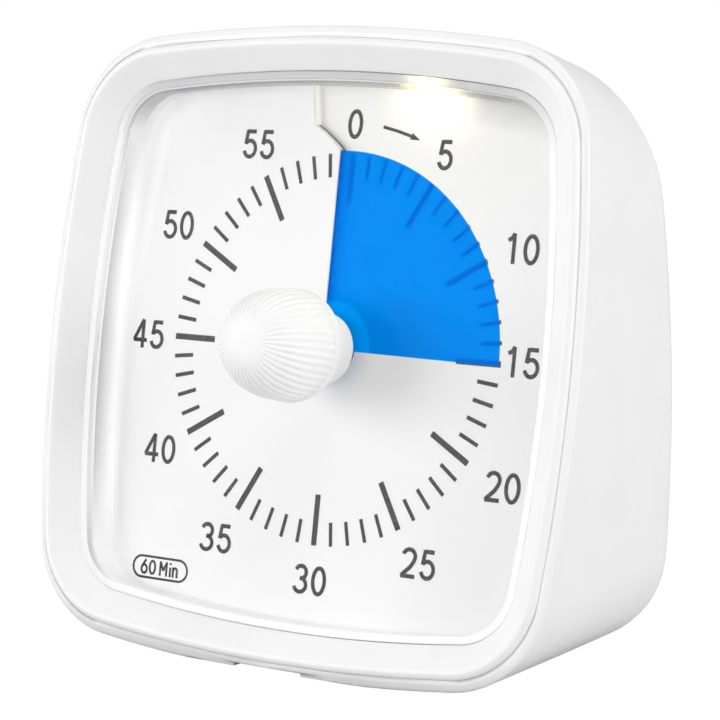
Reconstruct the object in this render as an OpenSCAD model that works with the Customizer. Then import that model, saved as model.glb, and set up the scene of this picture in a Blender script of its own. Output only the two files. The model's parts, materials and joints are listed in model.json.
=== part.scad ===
// Visual countdown timer: a wedge-shaped desk timer whose blue film disc is drawn
// out of a slit in the dial as the knob is turned. Millimetres, +Z up, the front
// faces -Y, and the origin lies on the surface that the timer stands on.

/* [Body] */
// Width across the widest point of the sides
body_w = 110; // [106:1:118]
// Reach of the front rim above the knob's axis, along the face
body_up = 54.6; // [53.5:0.1:58]
// Reach of the front rim below the knob's axis, along the face
body_down = 55.8; // [54.8:0.1:60]
// Depth of the body behind its front rim, at the knob's axis
body_d = 40.3; // [39:0.1:46]
// Lean of the face back from upright, in degrees
face_tilt = 9.5; // [7:0.5:11]
// Lean of the back panel forward from upright, in degrees
back_lean = 5; // [4:0.5:7]
// How much each side draws in from the rim to the back
side_taper = 3.1; // [1.5:0.1:4.5]
// Radius of the long bulge of each side
side_crown_r = 322; // [250:1:500]
// Corner radius at the front rim
rim_corner_r = 18.3; // [16:0.1:20]
// Radius of the upper corners at the back
back_corner_r = 26; // [22:0.5:28]
// Radius of the lower corners at the back
back_low_r = 18.5; // [17:0.5:22]
// Rounding of the edge round the back panel
back_edge_r = 5.3; // [3.5:0.1:6]
// Wall thickness of the rear shell
wall = 2.4; // [2:0.1:2.6]
// Depth of the flat that is ground off the crowned underside
base_flat = 0.6; // [0.4:0.1:0.9]
// Width of the pry notch under the front rim
pry_notch_w = 14; // [8:1:20]
// Depth of the pry notch
pry_notch_d = 0.5; // [0.3:0.1:0.8]

/* [Bezel and lens] */
// Height of the shell's widest rim above the dial
rim_h = 10.65; // [10:0.05:11.5]
// Rise of the bezel's outer edge over the shell's rim
seam_rise = 0.85; // [0.6:0.05:1.2]
// Width of the shell's lip beside the bezel, at the sides
lip_side = 1.4; // [1.2:0.1:1.6]
// Width of the shell's lip above and below the bezel
lip_end = 2; // [1.5:0.1:2.1]
// Rise of the bezel's crest over its outer edge
crest_rise = 1; // [0.6:0.1:1.6]
// Width of the bezel between its outer edge and the window, at the sides
frame_side = 5.5; // [4.5:0.1:7]
// Width of the bezel between its outer edge and the window, above and below
frame_end = 5.2; // [4.5:0.1:7]
// Corner radius of the window
win_corner_r = 10.8; // [9:0.1:13]
// Radius of the long bulge of the window's sides
win_crown_r = 278; // [200:1:400]
// Height of the window's edge above the dial
win_h = 9; // [8.8:0.1:9.6]
// Thickness of the clear pane
pane_t = 1.1; // [0.9:0.1:1.4]
// Width of the raised rim round the pane
lens_rim_w = 1.35; // [1:0.05:1.8]

/* [Dial] */
// Rise of the dial over one full turn, which is the height of its slit
dial_pitch = 1.9; // [1.7:0.05:2.2]
// Thickness of the dial plate
dial_t = 0.4; // [0.3:0.05:0.5]
// Distance of the slit to the left of the knob's axis
slit_x = 1.7; // [1.2:0.1:2.2]
// Radius at which the slit turns aside, just outside the disc
slit_turn_r = 34.65; // [34.5:0.05:35]
// Distance of the slit's outer stretch to the left of the knob's axis
slit_outer_x = 7.5; // [6:0.1:9]
// Radius at which the slit's outer stretch starts
slit_outer_r = 39.5; // [38:0.1:41]

/* [Time disc] */
// Radius of the blue film disc
disc_r = 34.2; // [33.5:0.05:34.35]
// Thickness of the film
disc_t = 0.2; // [0.15:0.01:0.25]
// Height at which the film lies above the dial
disc_gap = 0.9; // [0.8:0.05:1]
// Wall thickness of the boss that carries the film
boss_wall = 0.9; // [0.7:0.1:1.2]
// Time that is set, in minutes
set_min = 15; // [5:5:55]

/* [Knob] */
// Radius of the knob at its base
knob_r = 9.7; // [9:0.1:10.5]
// Height of the knob's base above the dial
knob_base_h = 12.1; // [11.8:0.1:13]
// Length of the knob
knob_len = 14.4; // [12:0.1:16]
// Fullness of the knob's rounded front: 2 is a plain ellipse
knob_round = 2.9; // [2.4:0.1:3.6]
// Length of the plain band round the knob's base
knob_band = 1.5; // [1:0.1:2.2]
// Radius of the smooth dome inside the flutes
dome_r = 4.4; // [3.8:0.1:5.4]
// Number of flutes round the knob
flutes = 44; // [36:4:52]
// Depth of the flutes
flute_d = 0.35; // [0.2:0.05:0.5]
// Radius of the smooth hub behind the knob
hub_r = 6.2; // [5.8:0.1:6.4]
// Height of the hub's lower end above the dial
hub_h = 3.6; // [3.5:0.1:4]
// Radius of the spindle
spindle_r = 3; // [2.5:0.1:3.2]
// Depth of the flat along the spindle
spindle_flat = 0.7; // [0.4:0.1:0.9]

/* [Movement] */
// Width of the movement's housing
move_w = 42; // [40:0.5:44]
// Height of the movement's housing
move_up = 36; // [36:0.5:40]
// Thickness of the movement's housing
move_t = 7.8; // [7.6:0.1:8.2]
// Wall thickness of the movement's housing
move_wall = 1; // [0.8:0.1:1.1]
// Gear module
gear_m = 0.4; // [0.38:0.01:0.42]
// Teeth of the centre wheel
centre_teeth = 40; // [40:4:44]
// Teeth of the pinion that the centre wheel drives
third_leaves = 10; // [10:1:11]
// Teeth of the third wheel
third_teeth = 36; // [32:4:36]
// Teeth of the second wheel's pinion
second_leaves = 9; // [8:1:9]
// Thickness of a wheel
wheel_t = 0.8; // [0.6:0.1:0.9]

/* [Batteries] */
// Diameter of one cell
cell_d = 14.5; // [13.5:0.1:14.6]
// Length of one cell with its cap
cell_l = 50.5; // [49:0.1:51]
// Room for the spring at a cell's flat end
spring_room = 6.5; // [5.5:0.1:7]
// Room for the contact at a cell's cap
button_room = 1.8; // [1.4:0.1:2.2]
// Thickness of the battery door
door_t = 1.8; // [1.6:0.1:2]
// Height of the battery bay's middle above the base
bay_z = 21.5; // [21:0.1:23]

/* [Controls] */
// Travel of the volume slider to either side
slider_travel = 3; // [2:0.1:3.5]
// Radius of the light button
button_r = 4.5; // [4:0.1:5]
// Travel of the light button
button_travel = 1; // [0.6:0.1:1.2]
// Radius of the buzzer's can
buzzer_r = 12; // [10:0.1:13]
// Number of slots in the sound grille
grille_slots = 7; // [5:2:7]

/* [Night light] */
// Distance of the night light to the right of the knob's axis
light_x = 18; // [15:0.5:22]
// Width of the night light's window
light_w = 12; // [9:0.5:14]

/* [Fits] */
// Gap round parts that are pressed together
hold_gap = 0.02; // [0.01:0.005:0.04]
// Gap round parts that drop in beside each other
drop_gap = 0.15; // [0.1:0.01:0.2]
// Radial clearance of turning and sliding fits
run_gap = 0.05; // [0.03:0.01:0.08]
// Clearance between parts that pass each other freely
free_gap = 0.3; // [0.25:0.01:0.4]

/* [Hidden] */
fine = 96;
small = 32;
eps = 0.02;
dial_steps = 72;

// ---- outlines ----------------------------------------------------------------

side_steps = 6;
corner_steps = 12;

function mix(a, b, k) = a + (b - a)*k;

// Centre of the corner arc between two long side arcs of radius r
function corner_at(a, b, r, rc) =
    let (ca = [a - r, 0], cb = [0, b - r], d = norm(cb - ca), n = [r - b, r - a]/d)
    (ca + cb)/2 + n*sqrt(pow(r - rc, 2) - d*d/4);

// First quarter of a square with bulging sides and round corners, half sizes a and b
function quarter(a, b, r, rc) =
    let (c = corner_at(a, b, r, rc),
         side_end = atan2(c.y, c.x - a + r),
         top_start = atan2(c.y - b + r, c.x))
    concat(
        [for (i = [0:side_steps - 1]) let (t = side_end*i/side_steps)
            [a - r + r*cos(t), r*sin(t)]],
        [for (i = [0:corner_steps - 1]) let (t = mix(side_end, top_start, i/corner_steps))
            c + rc*[cos(t), sin(t)]],
        [for (i = [0:side_steps]) let (t = mix(top_start, 90, i/side_steps))
            [r*cos(t), b - r + r*sin(t)]]);

// The whole outline from an upper and a lower quarter, which may differ in their corners
function outline(p, low) = let (q = len(p) - 1)
    concat([for (i = [0:q - 1]) p[i]], [for (i = [q:-1:1]) [-p[i].x, p[i].y]],
           [for (i = [0:q - 1]) -low[i]], [for (i = [q:-1:1]) [low[i].x, -low[i].y]]);
function crowned(a, b, r, rc) = let (p = quarter(a, b, r, rc)) outline(p, p);

// Distance from the centre to that outline in the direction t
function arc_hit(c, r, d) = let (k = c*d) k + sqrt(k*k - c*c + r*r);
function crowned_reach(a, b, r, rc, t) =
    let (d = [abs(cos(t)), abs(sin(t))], c = corner_at(a, b, r, rc),
         side = arc_hit([a - r, 0], r, d), top = arc_hit([0, b - r], r, d),
         side_p = side*d, top_p = top*d)
    side_p.y/(side_p.x - a + r) <= c.y/(c.x - a + r) ? side
    : top_p.x/(top_p.y - b + r) <= c.x/(c.y - b + r) ? top
    : arc_hit(c, rc, d);

// Skin over rings of equal length, either closed into a tube or capped at both ends
module skin(rings, tube = false) {
    n = len(rings[0]);
    last = len(rings) - (tube ? 1 : 2);
    sides = [for (j = [0:last]) for (i = [0:n - 1])
        let (k = (j + 1) % len(rings), m = (i + 1) % n,
             a = j*n + i, b = k*n + i, c = k*n + m, d = j*n + m)
        each [[a, b, c], [a, c, d]]];
    caps = tube ? [] : [[for (i = [0:n - 1]) i],
        [for (i = [n - 1:-1:0]) (len(rings) - 1)*n + i]];
    polyhedron([for (r = rings) each r], concat(caps, sides), convexity = 6);
}

// ---- places -------------------------------------------------------------------

// The face frame: X to the right, Y up along the face, Z towards the viewer, with
// its origin on the dial at the knob's axis. The back frame: Z out of the back panel.
face_c = (body_up - body_down)/2;
lean_k = tan(face_tilt + back_lean);
base_rise = (body_d + lean_k*body_down)*sin(face_tilt)
    /(cos(face_tilt) + lean_k*sin(face_tilt));
dial_y = -12;
dial_z = body_down*cos(face_tilt) - rim_h*sin(face_tilt) - base_flat;
back_h = rim_h - body_d;
back_y = dial_y - back_h*cos(face_tilt);
back_z = dial_z + back_h*sin(face_tilt);

module on_face() translate([0, dial_y, dial_z]) rotate([90 - face_tilt, 0, 0]) children();
module on_back() translate([0, back_y, back_z]) rotate([back_lean, 0, 0])
    rotate([90, 0, 180]) children();
module off_face() rotate([face_tilt - 90, 0, 0]) translate([0, -dial_y, -dial_z]) children();

// Height of the back panel's outside at a distance v above the knob's axis
function back_at(v) = back_h + lean_k*v;

// ---- body ---------------------------------------------------------------------

// Outline of the body at the share u of its depth, drawn in by ix and iy
function body_ring(u, ix, iy, lift = 0) =
    let (a = body_w/2 - side_taper*u - ix, up = body_up - iy,
         down = body_down - base_rise*u - iy, b = (up + down)/2, c = (up - down)/2,
         high = quarter(a, b, side_crown_r, mix(rim_corner_r, back_corner_r, u) - ix),
         low = quarter(a, b, side_crown_r, mix(rim_corner_r, back_low_r, u) - ix))
    [for (p = outline(high, low)) [p.x, p.y + c, rim_h + lift - u*(body_d - lean_k*(p.y + c))]];

edge_steps = 5;
shoulder_steps = 4;
lip_depth = 1.9;

// Ring of the rounded edge round the back, s steps round it, with radius r inside a wall w
function back_ring(s, r, w) = let (t = 90*s/edge_steps, i = w + r*(1 - sin(t)))
    body_ring(1 - (w + r*(1 - cos(t)))/body_d, i, i);

// Ring of the rounded front shoulder, from the rim at s = 0 to the lip's front edge
function lip_ring(s) = let (t = 90*s/shoulder_steps)
    body_ring(0, lip_side*(1 - cos(t)), lip_end*(1 - cos(t)), seam_rise*sin(t));

module shell_loft() {
    outer = concat([for (s = [0:edge_steps]) back_ring(s, back_edge_r, 0)],
        [body_ring(0.5, 0, 0)], [for (s = [0:shoulder_steps]) lip_ring(s)],
        [body_ring(0, lip_side, lip_end, seam_rise - lip_depth),
         body_ring(0, wall, wall, seam_rise - lip_depth)]);
    inner = concat([body_ring(0.5, wall, wall)],
        [for (s = [edge_steps:-1:0]) back_ring(s, back_edge_r - wall, wall)]);
    skin(concat(outer, inner));
}

// Battery bay, in the back frame
bay_y = (bay_z - back_z)/cos(back_lean);
bay_wall = 1.5;
bay_w = cell_l + spring_room + button_room;
bay_h = 2*cell_d + 4*free_gap;
bay_deep = door_t + cell_d + 3*free_gap;
bay_low = bay_y - bay_h/2;
bay_top = bay_y + bay_h/2;
door_ledge = 1;
door_gap = 0.2;
pin_r = door_t/2;
pin_len = 1.2;
pin_y = bay_low + pin_r;
bay_out = bay_w/2 + door_ledge + door_gap + pin_len + bay_wall;
scoop_r = 7;
scoop_d = 1.8;

module bay_block() translate([-bay_out, bay_low - bay_wall, -bay_deep - bay_wall])
    cube([2*bay_out, bay_h + 2*bay_wall, bay_deep + bay_wall - wall/2]);

module bay_cuts() {
    translate([-bay_w/2, bay_low, -bay_deep]) cube([bay_w, bay_h, bay_deep + 1]);
    translate([-bay_w/2 - door_ledge - door_gap, bay_low - door_gap, -door_t - door_gap])
        cube([bay_w + 2*door_ledge + 2*door_gap, bay_h + door_ledge + 2*door_gap, 2*door_t]);
    for (s = [-1, 1]) translate([s*bay_w/2, pin_y, -pin_r]) rotate([0, 90*s, 0])
        cylinder(r = pin_r + run_gap, h = door_ledge + 2*door_gap + pin_len, $fn = small);
    translate([0, bay_top + door_ledge, scoop_r - scoop_d]) rotate([90, 0, 0])
        cylinder(r = scoop_r, h = 4, center = true, $fn = fine);
}

// Towers of the rear shell and posts of the tray, which the case screws join
tower_r = 3.7;
tower_gap = 1;
tower_x = bay_out + tower_r + tower_gap;
tower_low_in = 23.8;
tower_top_in = 17.6;
tower_v = [tower_low_in - body_down, body_up - tower_top_in];
post_end = -9;
screw_ledge = 2;
head_r = 2.6;
head_t = 1.6;
shank_r = 1.3;
grip_len = 4;

module at_towers() for (x = [-tower_x, tower_x], v = tower_v) translate([x, v, 0]) children();

module shell_towers() for (x = [-tower_x, tower_x], v = tower_v) translate([x, v, back_at(v) + wall/2])
    cylinder(r = tower_r, h = post_end - hold_gap - back_at(v) - wall/2, $fn = small);

module shell_screw_holes() {
    for (x = [-tower_x, tower_x], v = tower_v) translate([x, v, back_at(v) - wall])
        cylinder(r = head_r + free_gap, h = post_end - screw_ledge - back_at(v) + wall, $fn = small);
    at_towers() translate([0, 0, post_end - 2*screw_ledge])
        cylinder(r = shank_r + free_gap, h = 3*screw_ledge, $fn = small);
}

// Controls and sound grille, in the back frame
slider_w = 5.4;
slider_h = 3.8;
slide_plate_over = 1;
slide_plate_w = slider_w + 4*slider_travel + 2*slide_plate_over;
control_x = buzzer_r + slide_plate_w/2 + slider_travel + 2*free_gap;
control_y = 14;
slider_at = [-control_x, control_y];
button_at = [control_x, control_y];
grille_y = 16;
slot_w = 1.4;
slot_pitch = 2.6;
grille_rim = 2.2;

module grille_slot(i) {
    reach = sqrt(pow(buzzer_r - grille_rim, 2) - pow(i*slot_pitch, 2));
    translate([i*slot_pitch, 0, -1.5*wall]) linear_extrude(2*wall) {
        square([slot_w, 2*reach], center = true);
        for (s = [-1, 1]) translate([0, s*reach]) circle(d = slot_w, $fn = small);
    }
}

module control_cuts() {
    translate([slider_at.x, slider_at.y, 0])
        cube([slider_w + 2*slider_travel + 2*free_gap, slider_h + 2*free_gap, 3*wall], center = true);
    translate([button_at.x, button_at.y, -2*wall])
        cylinder(r = button_r + drop_gap, h = 3*wall, $fn = fine);
    translate([0, grille_y, 0])
        for (i = [-floor(grille_slots/2):floor(grille_slots/2)]) grille_slot(i);
}

// Circuit board and the posts that it is screwed to
board_side_gap = 1.3;
board_w = 2*(tower_x - tower_r - board_side_gap);
board_low = 0;
board_up = 31;
board_z = -9;
board_t = 1.2;
board_in = 2.6;
board_post_r = 2;
board_screw_r = 0.8;
board_screw_l = 3.6;
module at_board_posts() for (s = [-1, 1], y = [board_low + board_in, board_up - board_in])
    translate([s*(board_w/2 - board_in), y, 0]) children();
module board_posts() at_board_posts() difference() {
    translate([0, 0, board_z + board_t])
        cylinder(r = board_post_r, h = -board_z - board_t - wall/2, $fn = small);
    translate([0, 0, board_z])
        cylinder(r = board_screw_r + hold_gap, h = board_t + board_screw_l, $fn = small);
}

module rear_shell() color("white") difference() {
    union() {
        on_face() shell_loft();
        on_face() shell_towers();
        on_back() bay_block();
        on_back() board_posts();
    }
    on_back() bay_cuts();
    on_back() control_cuts();
    on_face() shell_screw_holes();
    on_face() translate([-pry_notch_w/2, -body_down - 1, rim_h - lip_depth])
        cube([pry_notch_w, 1 + pry_notch_d + base_flat, 2*lip_depth]);
    translate([-body_w, -body_w, -body_w]) cube([2*body_w, 2*body_w, body_w]);
}

// ---- bezel and lens -------------------------------------------------------------

seam_h = rim_h + seam_rise;
seam_gap = 0.1;
seam_a = body_w/2 - lip_side - seam_gap;
seam_b = (body_up + body_down)/2 - lip_end - seam_gap;
win_w = 2*(seam_a - frame_side);
win_up = 2*(seam_b - frame_end);
lens_flange = 1.2;
lens_rim_h = 0.8;
pane_drop = 1;
boss_gap = 0.5;
tray_hole_step = 1;
pane_top = win_h - pane_drop;
pane_low = pane_top - pane_t;
tray_top = pane_low;

// Outline between the bezel's outer edge (k = 0) and the window's edge (k = 1)
function face_ring(k, h, grow = 0) =
    [for (p = crowned(mix(seam_a, win_w/2, k) + grow, mix(seam_b, win_up/2, k) + grow,
            mix(side_crown_r, win_crown_r, k), mix(rim_corner_r - lip_side, win_corner_r, k) + grow))
        [p.x, p.y + face_c, h]];

// The skirt follows the shell's inner wall, so its lower edge lies parallel to the back
skirt_t = 1.1;
skirt_share = 0.13;
crest_h = seam_h + crest_rise;
ledge_h = seam_h - lip_depth;

function skirt_ring(u, t, h) = body_ring(u, wall + drop_gap + t, wall + drop_gap + t, h - rim_h);

// Shares of the bezel's width and of its rise, up to the crest and down the cove
crest_steps = [[0, -0.1], [0.05, 0.6], [0.13, 0.95], [0.22, 1]];
cove_steps = [[0.34, 0.1], [0.62, 0.45], [0.93, 0.88], [1, 1]];

module front_bezel() color("white") on_face() skin(concat(
    [skirt_ring(skirt_share, 0, ledge_h), skirt_ring(0, 0, ledge_h), face_ring(0, ledge_h)],
    [for (k = crest_steps) face_ring(k[0], mix(seam_h, crest_h, k[1]))],
    [for (k = cove_steps) face_ring(k[0], mix(crest_h, win_h, k[1]))],
    [face_ring(1, pane_top), skirt_ring(0, skirt_t, pane_top),
     skirt_ring(skirt_share, skirt_t, ledge_h)]), tube = true);

// Solid prism over the window's outline grown by g, between two heights
module window_prism(g, low, top) translate([0, face_c, low]) linear_extrude(top - low)
    polygon(crowned(win_w/2 + g, win_up/2 + g, win_crown_r, win_corner_r + g));

lens_hole_r = hub_r + 2*free_gap;
boss_r = spindle_r + boss_wall;
dial_hole_r = boss_r + boss_gap;
tray_hole_r = dial_hole_r + tray_hole_step;

module clear_lens() color([0.9, 0.95, 1, 0.25]) on_face() difference() {
    union() {
        window_prism(lens_flange, pane_low, pane_top);
        window_prism(-drop_gap, pane_low, pane_top + lens_rim_h);
    }
    window_prism(-drop_gap - lens_rim_w, pane_top, win_h);
    translate([0, 0, pane_low - 1]) cylinder(r = lens_hole_r, h = 4, $fn = fine);
}

// ---- dial -----------------------------------------------------------------------

tray_in = -lens_rim_w;
tray_wall = 2;
tray_floor_top = -3.2;
tray_floor_t = 1.4;
tray_low = tray_floor_top - tray_floor_t;
flange_h = 4.6;
flange_in = wall + skirt_t + 2*drop_gap;
shelf_w = 2.2;
light_low = 2.6;
light_high = 6;
light_top = win_up/2 + tray_in + face_c;
led_t = 0.7;
led_w = 2.8;
led_inset = 0.1;
led_board_t = 0.6;
led_board_h = 6.6;
led_board_low = (light_low + light_high - led_board_h)/2;
led_y = light_top + tray_wall - led_inset;
screw_boss_r = 2.2;
screw_boss_h = 1.5;
screw_tip_gap = 0.6;
move_tip_gap = 0.3;
move_grip_len = tray_floor_t + screw_boss_h - move_tip_gap;
shelf_turn = 358;

// Angle of the slit at radius r, clockwise from 12 o'clock
function slit_at(r) =
    r <= slit_turn_r ? -asin(slit_x/r)
    : r >= slit_outer_r ? -asin(slit_outer_x/r)
    : mix(slit_at(slit_turn_r), slit_at(slit_outer_r), (r - slit_turn_r)/(slit_outer_r - slit_turn_r));

function clock(r, t, z) = [r*sin(t), r*cos(t), z];
function tray_reach(g, t) =
    crowned_reach(win_w/2 + g, win_up/2 + g, win_crown_r, win_corner_r + g, 90 - t);
function tray_point(g, t, z) = let (r = tray_reach(g, t)) [r*sin(t), r*cos(t) + face_c, z];

// A sheet that winds once clockwise round the axis from start to start + turn. Each
// column runs from the first radial point to the last, on its top and then its underside.
module wound_sheet(columns) {
    n = len(columns[0]);
    last = len(columns) - 1;
    sides = [for (j = [0:last - 1]) for (i = [0:n - 1])
        let (m = (i + 1) % n, a = j*n + i, b = (j + 1)*n + i, c = (j + 1)*n + m, d = j*n + m)
        each [[a, c, b], [a, d, c]]];
    ends = [for (i = [0:n/2 - 2]) each
        [[i + 1, i, n - 1 - i, n - 2 - i],
         [for (k = [i, i + 1, n - 2 - i, n - 1 - i]) last*n + k]]];
    polyhedron([for (c = columns) each c], concat(ends, sides), convexity = 6);
}

dial_radii = [dial_hole_r, 20, slit_turn_r, slit_outer_r];

module dial_plate() color("whitesmoke") on_face() wound_sheet(
    [for (i = [0:dial_steps]) let (share = i/dial_steps, z = dial_pitch*share,
        radial = [for (r = dial_radii) [r, slit_at(r) + 360*share]],
        edge_t = slit_at(tray_reach(0, 0)) + 360*share,
        inside = [for (p = radial) clock(p[0], p[1], z)],
        edge = tray_point(tray_in - drop_gap, edge_t, z),
        top = concat(inside, [edge]))
        concat(top, [for (k = [len(top) - 1:-1:0]) top[k] - [0, 0, dial_t]])]);

module dial_shelf() {
    wound_sheet([for (i = [0:dial_steps]) let (share = i/dial_steps,
            t = slit_at(slit_outer_r) + shelf_turn*share, z = dial_pitch*share - dial_t - eps)
        [tray_point(tray_in - shelf_w, t, z), tray_point(tray_in + tray_wall/2, t, z),
         tray_point(tray_in + tray_wall/2, t, tray_floor_top - tray_floor_t/2),
         tray_point(tray_in - shelf_w, t, tray_floor_top - tray_floor_t/2)]]);
}

module tray_shell() difference() {
    union() {
        window_prism(tray_in + tray_wall, tray_low, tray_top);
        translate([0, 0, flange_h - tray_floor_t]) linear_extrude(tray_floor_t) polygon(
            [for (p = body_ring(skirt_share, flange_in, flange_in)) [p.x, p.y]]);
        translate([light_x - light_w/2 - tray_wall, 0, led_board_low - tray_floor_t])
            cube([light_w + 2*tray_wall, led_y + led_t + led_board_t, tray_floor_t]);
    }
    window_prism(tray_in, tray_floor_top, tray_top + 1);
}

module dial_tray() color("white") on_face() difference() {
    union() {
        tray_shell();
        dial_shelf();
        at_towers() translate([0, 0, post_end])
            cylinder(r = tower_r, h = tray_low - post_end + tray_floor_t/2, $fn = small);
        at_move_screws() translate([0, 0, tray_floor_top - tray_floor_t/2])
            cylinder(r = screw_boss_r, h = screw_boss_h + tray_floor_t/2, $fn = small);
    }
    translate([0, 0, tray_low - 1]) cylinder(r = tray_hole_r, h = tray_floor_t + 2, $fn = fine);
    at_towers() translate([0, 0, post_end - 1])
        cylinder(r = shank_r + hold_gap, h = grip_len + screw_tip_gap + 1, $fn = small);
    at_move_screws() translate([0, 0, tray_low - 1])
        cylinder(r = move_screw_r + hold_gap, h = move_grip_len + 1, $fn = small);
    translate([light_x - light_w/2, light_top - tray_wall, light_low])
        cube([light_w, 3*tray_wall, light_high - light_low]);
    translate([light_x - light_w/2 - drop_gap, led_y, led_board_low])
        cube([light_w + 2*drop_gap, 2*tray_wall, led_board_h]);
}

module night_light_window() color([1, 0.95, 0.8]) on_face()
    translate([light_x - light_w/2 + drop_gap, light_top - tray_wall/2, light_low + drop_gap])
        cube([light_w - 2*drop_gap, 1.5*tray_wall - 2*drop_gap, light_high - light_low - 2*drop_gap]);

module led_board() on_face() translate([light_x, led_y, 0]) {
    color("green") translate([-light_w/2, led_t, led_board_low]) cube([light_w, led_board_t, led_board_h]);
    color("lightyellow") for (s = [-1, 1])
        translate([s*light_w/4 - led_w/2, 0, (light_low + light_high - led_w)/2]) cube([led_w, led_t, led_w]);
}

// ---- time disc --------------------------------------------------------------------

set_turn = 6*set_min;
film_in = boss_r + hold_gap;
boss_low = -2.2;
boss_top = 1.8;

module time_disc() color([0, 0.53, 1, 0.8]) on_face() wound_sheet(
    [for (i = [0:dial_steps]) let (t = set_turn - 360 + 360*i/dial_steps,
        low = disc_gap + dial_pitch*t/360, top = low + disc_t)
        [clock(film_in, t, top), clock(disc_r, t, top), clock(disc_r, t, low), clock(film_in, t, low)]]);

module disc_boss() color("royalblue") on_face() difference() {
    translate([0, 0, boss_low]) cylinder(r = boss_r, h = boss_top - boss_low, $fn = fine);
    spindle_bar(run_gap, boss_low - 1, boss_top + 1);
}

// Round bar with a flat along it, which keys the boss and the hub to the spindle
module spindle_bar(grow, low, top) difference() {
    translate([0, 0, low]) cylinder(r = spindle_r + grow, h = top - low, $fn = fine);
    translate([spindle_r - spindle_flat + grow, -2*spindle_r, low - 1])
        cube([2*spindle_r, 4*spindle_r, top - low + 2]);
}

// ---- knob ------------------------------------------------------------------------

socket_len = 8;
spindle_in = 2;
spindle_top = knob_base_h + socket_len - spindle_in;
knob_top = knob_base_h + knob_len;
base_round = 0.3;
band_step = 0.15;
knob_side_r = knob_r - band_step;

// Point of the knob's rounded side, w degrees from its base to its tip and d deep
function side_point(w, d) = [(knob_side_r - d)*pow(cos(w), 2/knob_round),
    knob_base_h + (knob_len - d)*pow(sin(w), 2/knob_round)];
side_low_w = asin(pow((knob_band + band_step)/knob_len, knob_round/2));
dome_w = acos(pow(dome_r/knob_side_r, knob_round/2));
side_cuts = 7;
side_w = [for (i = [0:side_cuts]) mix(side_low_w, dome_w, i/side_cuts)];

// Half section of the knob, from its base edge up over the rounded nose to the axis
knob_side = concat(
    [[knob_r - base_round, knob_base_h], [knob_r, knob_base_h + base_round],
     [knob_r, knob_base_h + knob_band]],
    [for (w = side_w) side_point(w, 0)],
    [side_point(mix(dome_w, 90, 0.5), 0), [0, knob_top]]);

// Radial slot whose floor runs parallel to the side and comes out at the dome
flute_w = 0.5;
flute_over = 2;
module flute_cutter() rotate([90, 0, 0]) linear_extrude(flute_w, center = true)
    polygon(concat([for (i = [0:side_cuts - 1]) side_point(side_w[i], flute_d)], [side_point(dome_w, -eps)],
        [[dome_r, knob_top + flute_over], [knob_r + flute_over, knob_top + flute_over],
         [knob_r + flute_over, side_point(side_low_w, 0).y]]));

module knob() color("white") on_face() difference() {
    rotate_extrude($fn = fine) polygon(concat([[0, knob_base_h]], knob_side));
    translate([0, 0, knob_base_h - 1]) cylinder(r = hub_r + hold_gap, h = socket_len + 1, $fn = fine);
    for (i = [0:flutes - 1]) rotate([0, 0, 360*i/flutes]) flute_cutter();
}

module knob_hub() color("white") on_face() difference() {
    translate([0, 0, hub_h]) cylinder(r = hub_r, h = knob_base_h + socket_len - hub_h, $fn = fine);
    spindle_bar(hold_gap, hub_h - 1, spindle_top);
}

// ---- movement ---------------------------------------------------------------------

// The housing hangs under the tray, and its wheels lie in three layers behind each other
move_front = tray_low;
move_low = move_front - move_t;
front_half_t = 3.6;
split_h = move_front - front_half_t;
move_corner_r = 3;
layer_gap = 0.8;
centre_h = move_front - move_wall - layer_gap - wheel_t;
third_h = centre_h - layer_gap - wheel_t;
second_h = third_h - layer_gap - wheel_t;
pinion_over = 0.2;
pinion_t = wheel_t + pinion_over;
tooth_play = 0.12;
arbor_r = 0.5;
third_dir = -20;
second_dir = 95;
third_p = (gear_m*(centre_teeth + third_leaves)/2 + tooth_play)*[cos(third_dir), sin(third_dir)];
second_p = third_p
    + (gear_m*(third_teeth + second_leaves)/2 + tooth_play)*[cos(second_dir), sin(second_dir)];
second_teeth = 28;
rotor_p = [-12, -8];
move_screw_at = [[-17.5, 14.5], [17.5, 14.5], [-17.5, -14.5], [17.5, -14.5]];
move_screw_r = 0.8;
move_head_r = 1.6;
move_head_t = 0.9;

// Gear outline with straight flanks, one tooth on the X axis
tooth_foot_k = 0.3;
tooth_tip_k = 0.13;
dedendum_k = 1.15;
addendum_k = 0.9;
function tooth(t, pitch, root, tip) = [[root, t - tooth_foot_k*pitch], [tip, t - tooth_tip_k*pitch],
    [tip, t + tooth_tip_k*pitch], [root, t + tooth_foot_k*pitch]];
function gear_points(teeth) =
    let (pitch = 360/teeth, r = gear_m*teeth/2, root = r - dedendum_k*gear_m, tip = r + addendum_k*gear_m)
    [for (i = [0:teeth - 1]) for (q = tooth(i*pitch, pitch, root, tip)) q[0]*[cos(q[1]), sin(q[1])]];

module gear(teeth, low, t, turn = 0) translate([0, 0, low]) rotate([0, 0, turn])
    linear_extrude(t) polygon(gear_points(teeth));
module gear_root(teeth, low, t) translate([0, 0, low])
    cylinder(r = gear_m*(teeth/2 - 1.5), h = t, $fn = small);
module arbor() translate([0, 0, move_low + move_wall/2])
    cylinder(r = arbor_r, h = move_t - move_wall, $fn = small);
module at_pivots() for (p = [third_p, second_p, rotor_p]) translate([p.x, p.y, 0]) children();
module at_move_screws() for (p = move_screw_at) translate([p.x, p.y, 0]) children();

module centre_wheel() color("gold") on_face() difference() {
    gear(centre_teeth, centre_h, wheel_t, third_dir);
    translate([0, 0, centre_h - 1]) cylinder(r = spindle_r + run_gap, h = wheel_t + 2, $fn = fine);
}

module third_wheel() color("ivory") on_face() translate([third_p.x, third_p.y, 0]) {
    gear(third_leaves, centre_h, pinion_t, third_dir + 180 + 180/third_leaves);
    gear_root(third_leaves, third_h, centre_h - third_h + pinion_t/2);
    gear(third_teeth, third_h, wheel_t, second_dir);
    arbor();
}

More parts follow.
